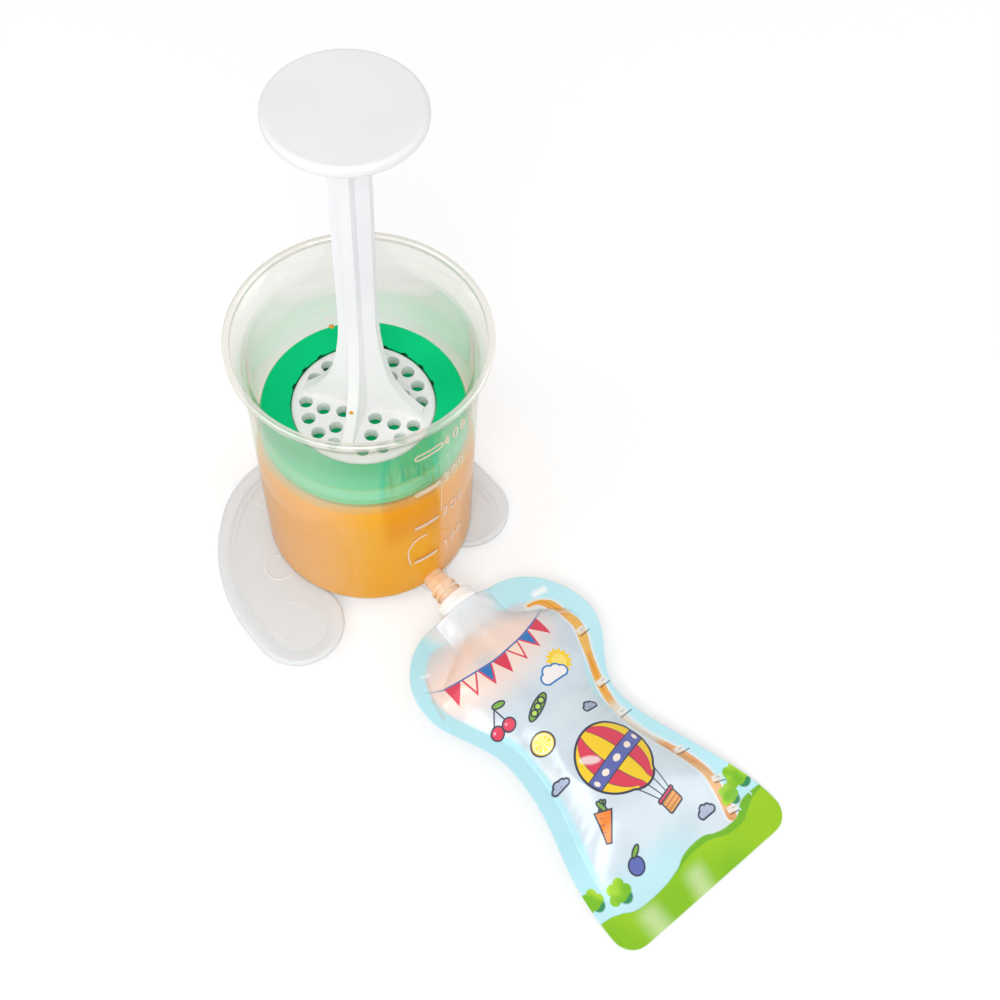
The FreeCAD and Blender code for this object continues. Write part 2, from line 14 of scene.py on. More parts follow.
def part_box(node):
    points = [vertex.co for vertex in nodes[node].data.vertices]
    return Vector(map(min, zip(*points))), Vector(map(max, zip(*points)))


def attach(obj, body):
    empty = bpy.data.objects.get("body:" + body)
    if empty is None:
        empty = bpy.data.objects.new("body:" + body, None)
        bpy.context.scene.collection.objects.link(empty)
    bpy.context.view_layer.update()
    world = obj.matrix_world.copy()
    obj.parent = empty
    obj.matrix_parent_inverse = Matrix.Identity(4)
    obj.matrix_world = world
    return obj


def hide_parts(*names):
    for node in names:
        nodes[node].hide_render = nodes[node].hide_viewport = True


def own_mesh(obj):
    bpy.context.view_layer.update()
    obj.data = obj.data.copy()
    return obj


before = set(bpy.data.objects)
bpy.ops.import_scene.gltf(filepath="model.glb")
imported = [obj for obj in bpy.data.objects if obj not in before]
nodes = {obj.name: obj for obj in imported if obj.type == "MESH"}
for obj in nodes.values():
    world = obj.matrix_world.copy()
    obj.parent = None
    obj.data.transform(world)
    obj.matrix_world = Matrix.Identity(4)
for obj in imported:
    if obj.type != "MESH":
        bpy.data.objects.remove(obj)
scene = bpy.context.scene
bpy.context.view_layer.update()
random.seed(7)

MM = 0.001

# ---- places taken from the frame, in mm
seal_low, seal_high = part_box("piston_seal")
spout_low, spout_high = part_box("pouch_spout")
film_low, film_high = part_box("pouch_front_film")
foot_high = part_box("base_plate")[1]
column_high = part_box("puree_column")[1]

POUCH_TOP = -film_high.y / MM  # from the beaker's axis to the pouch's top edge
POUCH_LENGTH = (film_high.y - film_low.y) / MM
SPOUT_HEIGHT = (spout_low.z + spout_high.z) / 2 / MM
BEAKER_BOTTOM = foot_high.z / MM  # the ring below it sits in the foot
BEAKER_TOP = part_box("beaker")[1].z / MM

# ---- places of the looks, mm and radians
DEEP_START = math.radians(-117)  # the stretch about Z between the flanks of painted reflection; higher up, its puree is deeper orange
DEEP_END = math.radians(-86)
BEYOND_ENDS = (0.2, 0.7)  # the flank of painted reflection that starts there fades out
BEFORE_STARTS = (2.3, 2.6)  # the flank before it, at the back, also painted reflection
BEFORE_ENDS = (-2.75, -2.1)
UPPER_HALF = (67, 84)  # heights over which the beaker's wall grows hazier
PISTON_REFLECTION_BAND = ((67, 73), (88, 98))  # heights where the painted green reflection of the piston sets in and ends
LIP_BAND = 2.2  # the thick rounded lip of the beaker
FLARE = 12  # from the flare's start up to the lip
STEM_PAINTED_LIGHT_HEIGHTS = (92, 150)  # heights over which the painted light on the stem's lower blades fades out
WELL_POCKETS = 20  # the piston's pockets beside the masher plate, over which painted shade is put
POCKET_REACH = 23.7  # from the axis
POCKETS_MIDDLE = math.radians(56)  # the side on which the painted pocket shade is put
SKIRT_START = seal_high.x / MM - 1.2  # from the axis
PISTON_BEND = 18  # how far below its place the piston's colours are painted on the puree at the wall's edge
NECK_START = 5.4 - POUCH_TOP  # along Y, past the collar

# ---- camera, in metres
CAMERA_PLACE = (-0.1563, -0.2318, 0.4779)
CAMERA_YAW = math.radians(44.27)  # clockwise from +Y
CAMERA_PITCH = math.radians(58.87)  # downward
CAMERA_ROLL = math.radians(5.12)
CAMERA_LENS = 50.4


def add(name, data):
    made = bpy.data.objects.new(name, data)
    scene.collection.objects.link(made)
    return made


def make_camera():
    camera = add("camera", bpy.data.cameras.new("camera"))
    camera.data.lens = CAMERA_LENS
    camera.data.sensor_width = 36
    turn = Matrix.Rotation(-CAMERA_YAW, 4, "Z") @ Matrix.Rotation(math.pi / 2 - CAMERA_PITCH, 4, "X")
    camera.matrix_world = Matrix.Translation(CAMERA_PLACE) @ turn @ Matrix.Rotation(CAMERA_ROLL, 4, "Z")
    scene.camera = camera


make_camera()


# ---- material graphs
def srgb(red, green, blue):
    """A colour as it looks on screen, 0 to 255, in the linear values that nodes take."""
    def linear(value):
        value /= 255
        return value / 12.92 if value <= 0.04045 else ((value + 0.055) / 1.055) ** 2.4
    return (linear(red), linear(green), linear(blue), 1)


class Number:
    """A number that a node gives. Plain arithmetic with it makes more nodes."""

    def __init__(self, look, socket):
        self.look = look
        self.socket = socket

    def __add__(self, other):
        return self.look.math("ADD", self, other)

    def __sub__(self, other):
        return self.look.math("SUBTRACT", self, other)

    def __rsub__(self, other):
        return self.look.math("SUBTRACT", other, self)

    def __mul__(self, other):
        return self.look.math("MULTIPLY", self, other)

    def __truediv__(self, other):
        return self.look.math("DIVIDE", self, other)

    def __neg__(self):
        return self * -1

    def __abs__(self):
        return self.look.math("ABSOLUTE", self)


class Nodes:
    """Short calls that fill a node tree. Numbers come back as Number, vectors and colours as sockets."""

    def __init__(self, tree):
        self.tree = tree

    def put(self, socket, value):
        """Link or set a socket; a colour of three values is one as it looks on screen."""
        if isinstance(value, Number):
            value = value.socket
        if isinstance(value, bpy.types.NodeSocket):
            self.tree.links.new(value, socket)
        elif socket.type == "RGBA" and len(value) == 3:
            socket.default_value = srgb(*value)
        else:
            socket.default_value = value

    def node(self, kind, *inputs, **settings):
        made = self.tree.nodes.new(kind)
        for key, value in settings.items():
            setattr(made, key, value)
        for socket, value in zip(made.inputs, inputs):
            self.put(socket, value)
        return made

    def number(self, kind, *inputs, output=0, **settings):
        return Number(self, self.node(kind, *inputs, **settings).outputs[output])

    def math(self, operation, *values):
        return self.number("ShaderNodeMath", *values, operation=operation)

    def sine(self, value):
        return self.math("SINE", value)

    def cosine(self, value):
        return self.math("COSINE", value)

    def turn(self, y, x):
        """The angle of a place about the origin, in radians."""
        return self.math("ARCTAN2", y, x)

    def length(self, u, v):
        return self.math("SQRT", u * u + v * v)

    def most(self, *values):
        return reduce(lambda one, other: self.math("MAXIMUM", one, other), values)

    def least(self, *values):
        return reduce(lambda one, other: self.math("MINIMUM", one, other), values)

    def ramp(self, value, low, high, out_low=0, out_high=1, kind="SMOOTHSTEP"):
        """A smooth step: out_low below low, out_high above high."""
        return self.number("ShaderNodeMapRange", value, low, high, out_low, out_high, interpolation_type=kind)

    def fall(self, value, low, high, top=1):
        """A smooth step down: top below low, 0 above high."""
        return self.ramp(value, low, high, top, 0)

    def between(self, value, rise, fall):
        """1 between two soft edges, each given by where it starts and ends, and 0 outside them."""
        return self.ramp(value, *rise) * self.fall(value, *fall)

    def mix(self, factor, first, second):
        made = self.node("ShaderNodeMix", factor, data_type="RGBA")
        self.put(made.inputs[6], first)
        self.put(made.inputs[7], second)
        return made.outputs[2]

    def clouded(self, grain, first, second, low=0.35, high=0.65):
        """Two colours in soft clouds that follow a noise."""
        return self.mix(self.ramp(grain, low, high), first, second)

    def place(self):
        return self.node("ShaderNodeTexCoord").outputs["Object"]

    def xyz(self):
        """The place in the frame as three numbers, in mm."""
        return [Number(self, part) / MM for part in self.node("ShaderNodeSeparateXYZ", self.place()).outputs]

    def vector(self, x, y, z):
        return self.node("ShaderNodeCombineXYZ", x, y, z).outputs[0]

    def noise(self, scale, detail, distortion=0, vector=None):
        """Noise over the place in metres, or over another vector."""
        made = self.node("ShaderNodeTexNoise", vector or self.place())
        for socket, value in (("Scale", scale), ("Detail", detail), ("Distortion", distortion)):
            made.inputs[socket].default_value = value
        return Number(self, made.outputs[0])

    def attribute(self, name):
        return self.number("ShaderNodeAttribute", output="Fac", attribute_name=name)

    def facing(self, power):
        """0 where the surface faces the ray, 1 at its edge, for gloss and clear walls."""
        return self.math("POWER", self.number("ShaderNodeLayerWeight", 0.5, output="Facing"), power)

    def curve(self, value, points):
        """A smooth curve through (x, y) points."""
        starts = [point[0] for point in points]
        levels = [point[1] for point in points]
        span = starts[-1] - starts[0]
        lowest = min(levels)
        rise = max(levels) - lowest
        made = self.node("ShaderNodeFloatCurve")
        line = made.mapping.curves[0]
        line.points[0].location = (0, (levels[0] - lowest) / rise)
        line.points[1].location = (1, (levels[-1] - lowest) / rise)
        for x, y in points[1:-1]:
            line.points.new((x - starts[0]) / span, (y - lowest) / rise)
        made.mapping.update()
        self.put(made.inputs["Value"], (value - starts[0]) / span)
        return Number(self, made.outputs[0]) * rise + lowest

    def seen_directly(self):
        """1 for rays from the camera, off gloss or through glass, 0 for light's own paths."""
        path = self.node("ShaderNodeLightPath").outputs
        return self.most(path["Is Camera Ray"], path["Is Glossy Ray"], path["Is Transmission Ray"])


class Look(Nodes):
    """One material: its node tree and the settings of its shader."""

    def __init__(self, name, **plain):
        self.material = bpy.data.materials.new(name)
        self.material.use_nodes = True
        super().__init__(self.material.node_tree)
        self.shader = self.tree.nodes["Principled BSDF"]
        for socket, value in plain.items():
            self.set(socket.replace("_", " "), value)

    def set(self, socket, value):
        self.put(self.shader.inputs[socket], value)

    def rough(self, grain, smoothest, roughest):
        """A roughness that follows a noise."""
        self.set("Roughness", self.ramp(grain, 0.3, 0.7, smoothest, roughest))

    def bump(self, height, strength, distance):
        made = self.node("ShaderNodeBump", strength, distance)
        self.put(made.inputs["Height"], height)
        self.set("Normal", made.outputs[0])

    def clear(self, tint, solid):
        """A clear wall: tint is what it lets through, solid how much of the wall itself shows."""
        through = self.node("ShaderNodeBsdfTransparent", tint).outputs[0]
        mixed = self.node("ShaderNodeMixShader", solid, through, self.shader.outputs[0])
        self.put(self.tree.nodes["Material Output"].inputs["Surface"], mixed.outputs[0])


# ---- materials
WHITE = (255, 255, 255)


def reflection_flanks(look, angle):
    """The flanks, beyond and before the deep stretch about Z, that carry painted reflection: paler puree,
    hazier wall.
    """
    beyond = look.between(angle, (DEEP_END - 0.02, DEEP_END + 0.05), BEYOND_ENDS)
    before = look.most(look.fall(angle, *BEFORE_ENDS), look.ramp(angle, *BEFORE_STARTS))
    return beyond, before


def clear_plastic():
    """Polished clear moulding: tinted at its edges, more reflecting the flatter the ray meets it, hazier in
    the upper half, with a duller lip; painted reflection makes its flanks hazier, tints its edges by height
    and gives a green band at the piston's height."""
    look = Look("clear_plastic", Metallic=1)
    x, y, z = look.xyz()
    lip = look.ramp(z, BEAKER_TOP - LIP_BAND, BEAKER_TOP - LIP_BAND + 0.5)
    look.set("Roughness", lip * 0.3 + look.ramp(look.noise(60, 4), 0.35, 0.7, 0.05, 0.12))
    # painted reflection of the piston: a fixed band of green mirror colour on the wall
    piston_reflection = look.between(z, *PISTON_REFLECTION_BAND)
    mirror = look.mix(piston_reflection, (246, 247, 242), (214, 251, 233))
    look.set("Base Color", look.mix(lip, mirror, (248, 247, 242)))
    look.bump(look.noise(40, 2), 0.05, 0.0006)
    haze_and_painted_reflection = look.ramp(z, *UPPER_HALF) * 0.07 + 0.003
    # painted reflection: the wall is hazier in the piston band and on the flanks
    haze_and_painted_reflection += piston_reflection * 0.08 + look.most(*reflection_flanks(look, look.turn(y, x))) * 0.08 + lip * 0.34
    # painted edge tints by height, for what the wall's edge reflects and bends into view: peach of the puree
    # lower down, a dark green-grey line at the neck, beige at the flare
    side = look.mix(look.ramp(z, 45, 60), (246, 232, 224), (236, 240, 236))
    side = look.mix(look.ramp(z, 94, 101), side, (188, 202, 188))
    side = look.mix(look.ramp(z, BEAKER_TOP - FLARE, BEAKER_TOP - FLARE + 3), side, (210, 200, 192))
    middle = look.mix(look.ramp(z, 84, 94), (253, 254, 253), (249, 249, 247))
    passed = look.mix(look.facing(2.5), middle, (234, 232, 227))
    passed = look.mix(look.facing(9), passed, side)
    passed = look.mix(lip, passed, (240, 236, 230))
    look.clear(passed, look.facing(5) * 0.4 + haze_and_painted_reflection)
    return look.material


def frosted_plastic():
    """Milky clear sheet with faint scuffs, darker where the ray meets it flat."""
    look = Look("frosted_plastic", IOR=1.47)
    x, y, z = look.xyz()
    scuff = look.ramp(look.noise(0.42, 2, vector=look.vector(x * 0.25, y + x, z)), 0.7, 0.78)
    tone = look.mix(look.noise(28, 3), (246, 250, 254), (252, 254, 255))
    tone = look.mix(look.facing(2.5), tone, (196, 198, 198))
    look.set("Base Color", look.mix(scuff * 0.8, tone, WHITE))
    look.rough(look.noise(900, 2), 0.28, 0.4)
    look.bump(look.noise(300, 2), 0.08, 0.0002)
    look.clear((249, 250, 251), look.facing(2) * 0.3 + 0.55)
    return look.material


def white_plastic(name, colour, rough, painted_light_colour=None):
    """White moulding; its thin lower blades, given a colour of their own, are painted lighter: painted light
    for the dimmer inside of the beaker.
    """
    look = Look(name, Specular_IOR_Level=0.4)
    tone = colour
    if painted_light_colour:
        # painted light: the lower blades are lighter
        tone = look.mix(look.ramp(look.xyz()[2], *STEM_PAINTED_LIGHT_HEIGHTS), painted_light_colour, colour)
    cloudy = look.ramp(look.noise(45, 3), 0.35, 0.65, 0, 0.2)
    look.set("Base Color", look.mix(cloudy, tone, (253, 253, 253)))
    look.rough(look.noise(60, 2), rough - 0.03, rough + 0.03)
    return look.material


def painted_pocket_shade(look, angle, reach):
    """Painted shade: dark round marks over the pockets beside the masher plate, put only on one side of the
    well.
    """
    step = 2 * math.pi / WELL_POCKETS
    off = angle - look.math("ROUND", angle / step) * step
    away = look.length(reach * off, reach - POCKET_REACH)
    shown = look.cosine(angle - POCKETS_MIDDLE)
    return look.fall(away, 1.9, 2.2) * look.ramp(shown, -0.05, 0.3)


def green_silicone():
    """Deep green on top, with painted shade over the pockets; the skirt is painted mint, a lighter copy of
    the green that stands in for the veil of the clear wall in front of it, with a thin green line at its top
    edge and a greener band at its lower lip."""
    look = Look("green_silicone", Specular_IOR_Level=0.08)
    x, y, z = look.xyz()
    reach = look.length(x, y)
    skirt = look.ramp(reach, SKIRT_START - 0.2, SKIRT_START + 0.3)
    height = look.ramp(z, seal_low.z / MM, seal_high.z / MM, kind="LINEAR")
    # painted veil: the skirt's mint and green bands are lighter copies of the silicone's green
    side = look.clouded(look.noise(34, 3), (124, 226, 168), (140, 230, 178))
    side = look.mix(look.fall(height, 0.3, 0.46), side, (126, 216, 136))
    side = look.mix(look.ramp(height, 0.86, 0.94), side, (128, 204, 112))
    top = look.mix(look.noise(70, 3), (0, 206, 128), (0, 213, 134))
    # painted shade over the pockets
    top = look.mix(painted_pocket_shade(look, look.turn(y, x), reach), top, (6, 52, 38))
    look.set("Base Color", look.mix(skirt, top, side))
    look.rough(look.noise(300, 3), 0.34, 0.46)
    look.bump(look.noise(500, 2), 0.06, 0.0001)
    return look.material


def bent_piston(look, z, tone):
    """A round clear wall bends the view at its edges, so the piston's green and mint are painted on the puree
    there, below its place.
    """
    bent = look.ramp(look.facing(1), 0.72, 1, kind="LINEAR")
    above = bent * bent * PISTON_BEND + z - column_high.z / MM
    tone = look.mix(look.ramp(above, 0.3, 0.9), tone, (160, 206, 96))
    return look.mix(look.ramp(above, 1.6, 2.6), tone, (186, 232, 206))


def puree(name="puree", behind_wall=False):
    """Smooth orange puree: deeper orange higher up on one stretch about Z; paler and pinker on the flanks as
    painted reflection.
    """
    look = Look(name, Specular_IOR_Level=0.12)
    x, y, z = look.xyz()
    angle = look.turn(y, x)
    tone = look.clouded(look.noise(24, 4, 0.5), (247, 176, 40), (249, 169, 0), 0.3, 0.7)
    around = look.between(angle, (DEEP_START - 0.08, DEEP_START + 0.06), (DEEP_END - 0.02, DEEP_END + 0.02))
    deep = around * look.ramp(look.noise(60, 3) * 14 + z, 46, 60)
    tone = look.mix(deep, tone, (240, 156, 0))
    beyond, before = reflection_flanks(look, angle)
    # painted reflection: the flanks are paler and pinker
    tone = look.mix(beyond * 0.6, tone, (255, 184, 116))
    tone = look.mix(before * 0.6, tone, (252, 186, 116))
    fine = look.noise(150, 3)
    tone = look.mix(look.ramp(fine, 0.6, 0.8, 0, 0.25), tone, (240, 160, 30))
    if behind_wall:
        tone = bent_piston(look, z, tone)
    look.set("Base Color", tone)
    look.rough(fine, 0.3, 0.42)
    look.bump(fine, 0.05, 0.0003)
    return look.material


def spout_plastic():
    """Natural plastic: peach where puree fills the thin neck, off-white at the collar."""
    look = Look("spout_plastic", IOR=1.48, Subsurface_Weight=0.3, Subsurface_Radius=(0.003, 0.002, 0.0015))
    near = look.ramp(look.xyz()[1], NECK_START - 0.6, NECK_START + 0.6)
    neck = look.clouded(look.noise(130, 3), (250, 208, 168), (253, 228, 204))
    look.set("Base Color", look.mix(near, (254, 251, 246), neck))
    look.rough(look.noise(400, 2), 0.25, 0.35)
    look.bump(look.noise(300, 2), 0.06, 0.0002)
    return look.material


def mark_plastic():
    """Raised marks of the clear moulding, painted whitish: a painted highlight for the light they catch along
    their ridges.
    """
    look = Look("mark_plastic", IOR=1.5, Roughness=0.2)
    look.set("Base Color", look.mix(look.noise(220, 2), (255, 236, 210), (255, 250, 240)))
    look.clear((250, 240, 226), look.facing(1.5) * 0.25 + 0.45)
    return look.material


def foot_mark_plastic():
    """Raised marks of the milky foot, painted a little whiter than the sheet around them: a painted highlight
    along them.
    """
    look = Look("foot_mark_plastic", Roughness=0.3, IOR=1.47)
    look.set("Base Color", look.mix(look.noise(220, 2), (250, 250, 249), WHITE))
    look.clear((250, 250, 250), look.facing(1.5) * 0.2 + 0.75)
    return look.material


def food_speck():
    look = Look("food_speck", Specular_IOR_Level=0.5)
    look.set("Base Color", look.mix(look.noise(900, 2), (222, 132, 16), (240, 190, 40)))
    look.rough(look.noise(1500, 2), 0.2, 0.45)
    return look.material


def give(name, material):
    """A CAD node keeps its shape and gets a better material."""
    materials = nodes[name].data.materials
    materials.clear()
    materials.append(material)


puree_material = puree()
give("beaker", clear_plastic())
give("base_plate", frosted_plastic())
give("piston_seal", green_silicone())
give("masher_plate", white_plastic("white_plate", (252, 252, 252), 0.35))
give("masher_stem", white_plastic("white_stem", (238, 238, 241), 0.4, (255, 251, 254)))
give("palm_disc", white_plastic("palm_plastic", (238, 238, 236), 0.5))
give("pouch_spout", spout_plastic())
give("puree_top", puree_material)
give("pouch_food", puree_material)


# ---- mesh helpers
def mesh_object(name, vertices, faces, material):
    mesh = bpy.data.meshes.new(name)
    mesh.from_pydata([tuple(v) for v in vertices], [], faces)
    mesh.update()
    mesh.shade_smooth()
    mesh.materials.append(material)
    return add(name, mesh)


def lathe(name, outline, material, count=160):
    """Turn (radius, height) pairs in mm into a closed skin about Z; it starts and ends on the axis."""
    vertices = []
    for radius, height in outline[1:-1]:
        for step in range(count):
            angle = 2 * math.pi * step / count
            vertices.append((radius * MM * math.cos(angle), radius * MM * math.sin(angle), height * MM))
    bottom = len(vertices)
    vertices += [(0, 0, outline[0][1] * MM), (0, 0, outline[-1][1] * MM)]
    faces = []
    for step in range(count):
        after = (step + 1) % count
        faces.append((bottom, after, step))
        for base in range(0, bottom - count, count):
            faces.append((base + step, base + after, base + count + after, base + count + step))
        faces.append((bottom + 1, bottom - count + step, bottom - count + after))
    return mesh_object(name, vertices, faces, material)


# ---- puree in the beaker
SKIN_DEPTH = 0.35  # mm inside the wall's outer face
CORNER_RISE = 1.2  # mm, the rounded bottom corner of the filling
TOP_TAPER = 12  # mm over which the skin draws back to the bore below the piston


def outer_wall(degrees, height):
    """The point on the beaker's outer face at an angle about Z and a height in mm above its floor."""
    angle = math.radians(degrees)
    outward = Vector((math.cos(angle), math.sin(angle), 0))
    level = Vector((0, 0, (BEAKER_BOTTOM + height) * MM))
    return nodes["beaker"].ray_cast(level + outward * 0.2, -outward)[1]


def make_puree_body():
    """The filling. A clear wall bends light so that what it holds seems to fill it, so the skin is
    drawn almost at the wall's outer face."""
    low = BEAKER_BOTTOM + SKIN_DEPTH
    high = column_high.z / MM
    rings = 40
    outline = [(0, low)]
    for ring in range(rings + 1):
        height = low + CORNER_RISE + (high - low - CORNER_RISE) * ring / rings
        wall = outer_wall(180, height - BEAKER_BOTTOM)
        back = max(0, 1 - (high - height) / TOP_TAPER) ** 2
        skin = math.hypot(wall.x, wall.y) / MM - SKIN_DEPTH
        radius = skin + (column_high.x / MM - skin) * back
        if ring == 0:
            outline += [(radius - CORNER_RISE, low), (radius - 0.3 * CORNER_RISE, low + 0.3 * CORNER_RISE)]
        outline.append((radius, height))
    outline.append((0, high))
    body = lathe("puree_body", outline, puree("puree_behind_wall", True))
    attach(body, "station")
    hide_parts("puree_column")
    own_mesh(body)


make_puree_body()


# ---- marks on the beaker and the foot
def tubes(name, lines, radius, material):
    """Thin raised lines: each is a list of points in metres, with its own share of the radius."""
    curve = bpy.data.curves.new(name, "CURVE")
    curve.dimensions = "3D"
    curve.bevel_depth = radius
    curve.bevel_resolution = 3
    curve.use_fill_caps = True
    for points, share in lines:
        spline = curve.splines.new("POLY")
        spline.points.add(len(points) - 1)
        for place, knot in zip(points, spline.points):
            knot.co = (*place, 1)
            knot.radius = share
    curve.materials.append(material)
    piece = add(name, curve)
    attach(piece, "station")


def on_wall(corners):
    """Points on the beaker's outer face, each half millimetre or degree between (degrees, mm) corners."""
    spots = [corners[0]]
    for start, end in zip(corners, corners[1:]):
        count = max(1, round(math.dist(start, end) / 0.5))
        spots.extend(np.linspace(start, end, count + 1)[1:])
    return [outer_wall(*spot) for spot in spots]


DIGITS = {  # strokes in a box 1 wide and 1.7 high
    "0": [[(0.5 + 0.5 * math.sin(turn * math.pi / 8), 0.85 - 0.85 * math.cos(turn * math.pi / 8))
           for turn in range(17)]],
    "1": [[(0.25, 1.35), (0.6, 1.7), (0.6, 0)]],
    "2": [[(0.05, 1.3), (0.2, 1.6), (0.5, 1.7), (0.85, 1.55), (0.92, 1.2), (0.6, 0.7), (0.03, 0), (1, 0)]],
    "3": [[(0.05, 1.5), (0.45, 1.7), (0.88, 1.5), (0.85, 1.1), (0.45, 0.92), (0.92, 0.7), (0.95, 0.25),
           (0.5, 0), (0.05, 0.2)]],
    "4": [[(0.7, 0), (0.7, 1.7), (0.02, 0.5), (1, 0.5)]],
}
VOLUME_ROWS = (("400", 91.5, -99.3, 1.3), ("300", 69, -99.8, 0.9), ("200", 46.5, -100.6, 0.5),
               ("100", 23.3, -101.6, 0.4))  # figures, height, start angle, half height of the bar
BAR_SWEEP = 12.4  # degrees
BAR_ROUNDING = 1.45  # degrees round the wall for each mm of a bar's half height
DIGIT_START = -83.9
DIGIT_PITCH = 6  # degrees from one figure to the next
DIGIT_WIDTH = 3.3
DIGIT_SIZE = 2.9  # mm for 1 unit of height
DIGIT_DROP = 2.2  # mm from the bar's middle down to the figures' foot


def bar_outline(start, height, half):
    """A bar with round ends, as (degrees, mm) corners."""
    corners = []
    for turn in range(25):
        angle = math.radians(90 + turn * 15)
        middle = start if turn <= 12 else start + BAR_SWEEP
        corners.append((middle + half * BAR_ROUNDING * math.cos(angle), height + half * math.sin(angle)))
    return corners + corners[:1]


def make_volume_marks():
    lines = []
    for text, height, start, half in VOLUME_ROWS:
        lines.append((on_wall(bar_outline(start, height, half)), 1))
        if half < 1:
            lines.append((on_wall([(start, height), (start + BAR_SWEEP, height)]), 1.2))
        for place, figure in enumerate(text):
            left = DIGIT_START + place * DIGIT_PITCH
            for stroke in DIGITS[figure]:
                corners = [(left + x * DIGIT_WIDTH, height - DIGIT_DROP + y * DIGIT_SIZE) for x, y in stroke]
                lines.append((on_wall(corners), 1))
    tubes("volume_marks", lines, 0.3 * MM, mark_plastic())


ARCH = ((-104.2, 22), (-105.5, 28.7), (-105.3, 32.9), (-103.8, 35.9), (-101.2, 38.3), (-98.2, 39.2),
        (-94.5, 39.2))  # degrees and mm
SEAM = ((-85.2, 48.4), (-85.4, 68.1))


def make_outlet_arch():
    """The moulded arch over the outlet and the joint line of the mould beside it."""
    lines = [(on_wall(ARCH), 1), (on_wall(SEAM), 0.5)]
    tubes("outlet_arch", lines, 0.32 * MM, mark_plastic())


# middle, degrees and length of each flow line, in mm
FOOT_MARKS = (((-32.7, 30.4), -63, 7.1), ((-43.5, 13.8), -43, 2.5), ((-45.7, -15.4), -56, 7.7),
              ((-61.3, -13.1), -68, 3.6), ((-58.5, -22.7), -72, 6.4), ((-45.7, 12.1), -38, 1.6))
RING_CENTRE = (-41.9, 1.4)
RING_RADIUS = 5.2
BEAKER_FOOT = 38.6  # the ring ends at this radius, where the beaker stands


def on_foot(centre, degrees, reach):
    """The point on top of the foot that lies a reach in mm from a centre."""
    angle = math.radians(degrees)
    return ((centre[0] + reach * math.cos(angle)) * MM, (centre[1] + reach * math.sin(angle)) * MM,
            foot_high.z)


def make_foot_marks():
    """The gate ring and short flow lines moulded into the foot."""
    ring = [on_foot(RING_CENTRE, step * 7.5, RING_RADIUS) for step in range(49)]
    lines = [([spot for spot in ring if math.hypot(*spot[:2]) > BEAKER_FOOT * MM], 1)]
    for middle, degrees, length in FOOT_MARKS:
        lines.append(([on_foot(middle, degrees, length * share) for share in (-0.5, 0, 0.5)], 0.6))
    tubes("foot_marks", lines, 0.32 * MM, foot_mark_plastic())


make_volume_marks()
make_outlet_arch()
make_foot_marks()


# ---- specks of food
def make_speck(name, body, place, size, material, seed):
    """A small uneven lump of puree, its place and size in mm."""
    picker = random.Random(seed)
    stretch = Vector((picker.uniform(0.8, 1.3), picker.uniform(0.8, 1.3), 0.6))
    phase = [picker.uniform(0, 6.28) for _ in range(3)]
    lump = bmesh.new()
    bmesh.ops.create_icosphere(lump, subdivisions=3, radius=size * MM)
    for vertex in lump.verts:
        way = vertex.co.normalized()
        bulge = 1 + 0.16 * math.sin(4 * way.x + phase[0]) * math.sin(5 * way.y + phase[1])
        bulge += 0.08 * math.sin(9 * way.z + phase[2])
        vertex.co = vertex.co * stretch * bulge + Vector(place) * MM
    mesh = bpy.data.meshes.new(name)
    lump.to_mesh(mesh)
    lump.free()
    mesh.shade_smooth()
    mesh.materials.append(material)
    piece = add(name, mesh)
    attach(piece, body)


speck_material = food_speck()
make_speck("food_on_seal", "piston", (10.9, 33.4, seal_high.z / MM - 0.2), 0.9, speck_material, 5)
make_speck("food_on_stem", "masher", (-10.34, -7.7, 91.19), 0.75, speck_material, 3)


# ---- pouch: outline and puff, in mm; AT is a distance from its top edge
SHOULDER_WIDTH = 37.8
TOP_WIDTH = 13.2
SHOULDER_AT = 27
WAIST_WIDTH = 24.8
WAIST_AT = 60.5
HEM_WIDTH = 38.9
HEM_AT = 125.5
CORNER = 8  # radius of the bottom corners
BORDER = 6.5  # sealed edge
HEM_BAND = 8
BOAT_WIDTH = 12.3  # the spout's sealing foot between the films
BOAT_LENGTH = 9.6
CHEST_AT = 36
BELLY_AT = 93


def eased(value, start, end, low, high):
    """low before start, high after end, and a cosine slope between."""
    share = np.clip((value - start) / (end - start), 0, 1)
    return low + (high - low) * (1 - np.cos(math.pi * share)) / 2


def half_width(along):
    """Half the pouch's width at a distance from its top edge."""
    share = np.clip(1 - along / SHOULDER_AT, 0, 1)
    top = TOP_WIDTH + (SHOULDER_WIDTH - TOP_WIDTH) * np.sqrt(1 - share ** 2)
    middle = eased(along, SHOULDER_AT, WAIST_AT, SHOULDER_WIDTH, WAIST_WIDTH)
    low = eased(along, WAIST_AT, HEM_AT, WAIST_WIDTH, HEM_WIDTH)
    past = np.clip(along - (POUCH_LENGTH - CORNER), 0, CORNER)
    low = low - (CORNER - np.sqrt(CORNER ** 2 - past ** 2))
    return np.where(along < SHOULDER_AT, top, np.where(along < WAIST_AT, middle, low))


def filled_width(along):
    """Half the width that the filling spreads the films over."""
    inside = half_width(along) - BORDER
    return np.where(along < BOAT_LENGTH, np.minimum(BOAT_WIDTH, half_width(along) - 0.8),
                    np.minimum(inside, eased(along, BOAT_LENGTH, SHOULDER_AT, BOAT_WIDTH, inside)))


def keyed(along, *levels):
    """A smooth course through levels at the boat, chest, waist, belly and hem."""
    marks = [BOAT_LENGTH, CHEST_AT, WAIST_AT, BELLY_AT, POUCH_LENGTH - HEM_BAND]
    value = np.full_like(along, levels[0], dtype=float)
    for index in range(4):
        step = eased(along, marks[index], marks[index + 1], levels[index], levels[index + 1])
        value = np.where(along > marks[index], step, value)
    return value


def sway(along):
    """How far the soft pouch's middle lies beside the outlet's line."""
    return keyed(along, 0, 1.8, -0.9, 0.2, 2.9)


